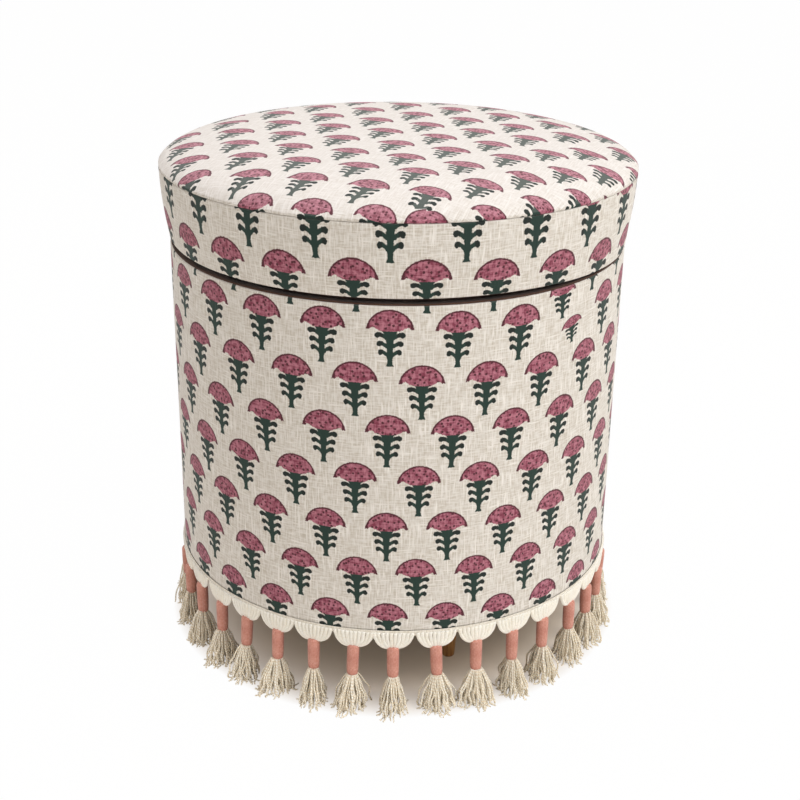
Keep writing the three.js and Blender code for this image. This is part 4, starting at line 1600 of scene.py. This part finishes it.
filling_materials = {}
for name, (dark, light, scale, depth) in FILLINGS.items():
    made, tree, shader = new_material(name, Roughness=0.95)
    place = add(tree, "TexCoord")
    in_mm = add(tree, "VectorMath", {0: place.outputs["Object"], 1: TO_MM}, operation="MULTIPLY")
    lumpy = {"Vector": in_mm, "Scale": scale, "Detail": 5.0}
    lumps = add(tree, "TexNoise", lumpy).outputs["Fac"]
    tones = {"Factor": lumps, "A": colour(dark), "B": colour(light)}
    tone = add(tree, "Mix", tones, data_type="RGBA")
    tree.links.new(tone.outputs["Result"], shader.inputs["Base Color"])
    lump_bump = add(tree, "Bump", {"Height": lumps, "Strength": 0.6, "Distance": depth * MM})
    tree.links.new(lump_bump.outputs[0], shader.inputs["Normal"])
    filling_materials[name] = made
print("filling materials:", list(filling_materials))

# %% Wadding and foam
WADDING_IN = 193.8
WADDING_OUT = 198.3
WADDING_LOW = 77
WADDING_TOP = 362.4
FOAM_LOW = 383.2  # on the lid's board
FOAM_RADIUS = 198.4
UNDER_COVER = 1.2  # from the cover to the foam


def wadding_ripple(angle, height):
    """The same swells as the cover's, which lies on it."""
    return swells(angle, height, 0.3, 5) - 0.4


wadding_outline = [
    (WADDING_IN, WADDING_LOW + 3),
    (WADDING_IN, WADDING_LOW, 1),
    (WADDING_OUT, WADDING_LOW, 2),
    (WADDING_OUT, WADDING_TOP, 2),
    (WADDING_IN, WADDING_TOP, 1),
    (WADDING_IN, WADDING_LOW + 4),
]
wadding = turned(
    "wadding_sleeve",
    divided(rounded(wadding_outline), 12),
    filling_materials["polyester_wadding"],
    columns=128,
    ripple=wadding_ripple,
    closed=True,
)
# from the middle of its underside out, up inside the boxing, and in over the crown
foam_outline = [(AXIS_GAP, FOAM_LOW), (FOAM_RADIUS - 0.9, FOAM_LOW, 2)]
for share in (0.3, 0.5, 0.7, 0.85):
    foam_outline.append((FOAM_RADIUS + FLARE * share, LID_BOTTOM + LID_HEIGHT * share))
for radius, height in zip(crown_radius[::3], crown_height[::3]):
    foam_outline.append((radius - UNDER_COVER, height - UNDER_COVER))
foam_outline.append((AXIS_GAP, crown_height[-1] - UNDER_COVER))
foam = turned(
    "foam_cushion",
    divided(rounded(foam_outline), 10),
    filling_materials["upholstery_foam"],
    columns=128,
)
for piece, body, node, slot, fill in (
    (wadding, "drum", "drum_wadding", "polyester_wadding", 0.8),
    (foam, "lid", "foam_pad", "upholstery_foam", 1.0),
):
    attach(piece, body)
    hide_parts(node)
print("fillings:", wadding.name, foam.name)

# %% [markdown]
# The rest of the measured model keeps its own meshes: plywood panels and posts, and a shell
# of bent hardboard. They get materials only. Plywood shows even grain on its faces and
# thin stripes on its edges, one for each ply of 1.5 mm. A distance that runs up and down
# again with height makes the stripes, and the way a face looks tells an edge from a face.

# %% Plywood
PLY = 1.5  # thickness of a ply
PLY_GRAIN = (0.03, 0.5, 0.5)  # turns of the grain in a mm, slow along the first axis

# Birch plywood, sanded: pale and even on its faces, striped brown and tan on its edges.
plywood, tree, ply_shader = new_material("plywood", Roughness=0.6)
place = add(tree, "TexCoord")
in_mm = add(tree, "VectorMath", {0: place.outputs["Object"], 1: TO_MM}, operation="MULTIPLY")
place_xyz = add(tree, "SeparateXYZ", {0: in_mm})
ply_number = add(tree, "Math", {0: place_xyz.outputs["Z"], 1: 2 * PLY}, operation="PINGPONG")
glue_line = {"Value": ply_number, "From Min": PLY * 0.9, "From Max": PLY * 1.1}
ply_stripe = add(tree, "MapRange", glue_line)
edge_facing = add(tree, "NewGeometry")
facing = add(tree, "SeparateXYZ", {0: edge_facing.outputs["Normal"]})
upright = add(tree, "Math", {0: facing.outputs["Z"]}, operation="ABSOLUTE")
is_edge = add(tree, "Math", {0: upright, 1: 0.5}, operation="LESS_THAN")
stripe = add(tree, "Math", {0: ply_stripe, 1: is_edge}, operation="MULTIPLY")
grain_place = add(tree, "VectorMath", {0: in_mm, 1: PLY_GRAIN}, operation="MULTIPLY")
grain = add(tree, "TexNoise", {"Vector": grain_place, "Scale": 1.0, "Detail": 4.0})
grain = grain.outputs["Fac"]
birch = {"Factor": grain, "A": colour("#b08a55"), "B": colour("#dcbc88")}
face = add(tree, "Mix", birch, data_type="RGBA").outputs["Result"]
striped = {"Factor": stripe, "A": face, "B": colour("#8f6a3c")}
edge = add(tree, "Mix", striped, data_type="RGBA")
tree.links.new(edge.outputs["Result"], ply_shader.inputs["Base Color"])
ply_bump = add(tree, "Bump", {"Height": grain, "Strength": 0.3, "Distance": 0.1 * MM})
tree.links.new(ply_bump.outputs[0], ply_shader.inputs["Normal"])
print("plywood nodes:", len(tree.nodes))

# %% Hardboard, and who gets what
FIBRES = 0.9  # bundles of fibre in a mm

# Pressed wood fibre: a plain mid brown, mottled like cork, with a dull face.
hardboard, tree, board_shader = new_material("bent_hardboard", Roughness=0.7)
place = add(tree, "TexCoord")
fibrous = {"Vector": place.outputs["Object"], "Scale": FIBRES / MM, "Detail": 4.0}
mottle = add(tree, "TexNoise", fibrous).outputs["Fac"]
board_tones = {"Factor": mottle, "A": colour("#5f4225"), "B": colour("#94704a")}
board_tone = add(tree, "Mix", board_tones, data_type="RGBA")
tree.links.new(board_tone.outputs["Result"], board_shader.inputs["Base Color"])
kept_nodes = {"drum_shell": hardboard}
for node in ("base_panel", "lid_board", "post_1", "post_2", "post_3", "post_4"):
    kept_nodes[node] = plywood
for node, finish in kept_nodes.items():
    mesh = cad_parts[node].data
    mesh.materials.clear()
    mesh.materials.append(finish)
print("kept nodes:", sorted(kept_nodes))

# %% [markdown]
# The stool stands on a plain white floor under soft light. A large lamp above and to the right
# makes the right side pale and the left side darker, as in the photograph. A wide one overhead
# makes the top almost white, a weak one fills the front, and the sky fills the rest. The floor
# shines white of itself for the camera, so that it stays white round the stool, but hardly
# under it, so that it keeps the shadow between the tassels.

# %% Floor
CLEAR_FLOOR = 0.215  # metres from the middle to where the stool's shadow ends
SHADED_GLOW = 0.05  # how much of the white shines of itself under the stool
OPEN_GLOW = 0.985  # and round it
FLOOR_HALF = 9000  # mm from the middle to the floor's edge

# Matt white paper: its own white outside the shadow. Under the stool its colour and its glow are
# tinted warm, a painted warm bounce light.
white_floor, tree, floor_shader = new_material("white_floor", Roughness=0.6)
output = next(node for node in tree.nodes if node.type == "OUTPUT_MATERIAL")
rays = add(tree, "LightPath")
seen = rays.outputs["Is Camera Ray"]
for ray in ("Is Glossy Ray", "Is Transmission Ray"):
    seen = add(tree, "Math", {0: seen, 1: rays.outputs[ray]}, operation="MAXIMUM").outputs[0]
floor_place = add(tree, "NewGeometry")
from_middle = add(tree, "VectorMath", {0: floor_place.outputs["Position"]}, operation="LENGTH")
# 0 under the middle of the stool and 1 outside the fringe, rising late
distance = {0: from_middle.outputs["Value"], 1: 1 / CLEAR_FLOOR}
reach = add(tree, "Math", distance, operation="MULTIPLY")
late = add(tree, "Math", {0: reach, 1: 6.0}, operation="POWER")
outside = add(tree, "MapRange", {"Value": late})
clear = add(tree, "MapRange", {"Value": outside, "To Min": SHADED_GLOW, "To Max": OPEN_GLOW})
share = add(tree, "Math", {0: seen, 1: clear}, operation="MULTIPLY")
# painted warm bounce light: inside the fringe the floor's colour and its small glow are tinted warm
ground = {"Factor": outside, "A": colour("#ead5b6"), "B": colour("#f4f0e8")}
ground = add(tree, "Mix", ground, data_type="RGBA").outputs["Result"]
tree.links.new(ground, floor_shader.inputs["Base Color"])
shine = {"Factor": outside, "A": colour("#ecd9c6"), "B": colour("#ffffff")}
shine = add(tree, "Mix", shine, data_type="RGBA").outputs["Result"]
glow = add(tree, "Emission", {"Color": shine, "Strength": 1.0})
mixed = add(tree, "MixShader", {0: share, 1: floor_shader, 2: glow})
tree.links.new(mixed.outputs[0], output.inputs["Surface"])
corners = [(FLOOR_HALF * a, FLOOR_HALF * b, 0) for a, b in ((-1, -1), (1, -1), (1, 1), (-1, 1))]
floor = surface("floor", corners, [(0, 1, 2, 3)], finish=white_floor, smooth=False)
print("floor across, in m:", 2 * FLOOR_HALF * MM)

# %% [markdown]
# The sky is a world colour of low strength. Rays that come straight from the camera, and rays
# that a glossy or clear surface sends out, see plain white instead, so that the background is
# white without more light on the stool. Each lamp is a disc, because round lamps leave round
# soft highlights, and a track-to rotation aims it at the middle of the drum.

# %% The sky
SKY = 0.44  # its strength as light; white is 1

world = bpy.data.worlds.new("sky")
world.use_nodes = True
scene.world = world
sky = world.node_tree
sky.nodes.clear()
rays = add(sky, "LightPath")
seen = rays.outputs["Is Camera Ray"]
for ray in ("Is Glossy Ray", "Is Transmission Ray"):
    seen = add(sky, "Math", {0: seen, 1: rays.outputs[ray]}, operation="MAXIMUM").outputs[0]
sky_light = add(sky, "Background", {"Color": colour("#fff7ea"), "Strength": SKY})
sky_white = add(sky, "Background", {"Color": colour("#ffffff"), "Strength": 1.0})
sky_mix = add(sky, "MixShader", {0: seen, 1: sky_light, 2: sky_white})
add(sky, "OutputWorld", {"Surface": sky_mix})
print("sky nodes:", len(sky.nodes))

# %% Lamps
AIM = Vector((0, 0, 0.22))  # the middle of the drum, in metres
LAMPS = {
    "key": {"place": (1.5, -0.9, 2.3), "size": 1.6, "power": 36.3, "tint": "#ffffff"},
    "over": {"place": (-0.3, 0.3, 2.6), "size": 2.4, "power": 30.2, "tint": "#eeebf6"},
    "front": {"place": (0.2, -2.6, 1.0), "size": 2.0, "power": 5.1, "tint": "#f2f5ff"},
}
for name, lamp in LAMPS.items():
    light = bpy.data.lights.new(name, "AREA")
    light.shape = "DISK"
    light.size = lamp["size"]
    light.energy = lamp["power"]
    light.color = colour(lamp["tint"])[:3]
    holder = bpy.data.objects.new(name, light)
    scene.collection.objects.link(holder)
    holder.location = lamp["place"]
    towards = AIM - holder.location
    holder.rotation_euler = towards.to_track_quat("-Z", "Y").to_euler()
print("lamps:", list(LAMPS))
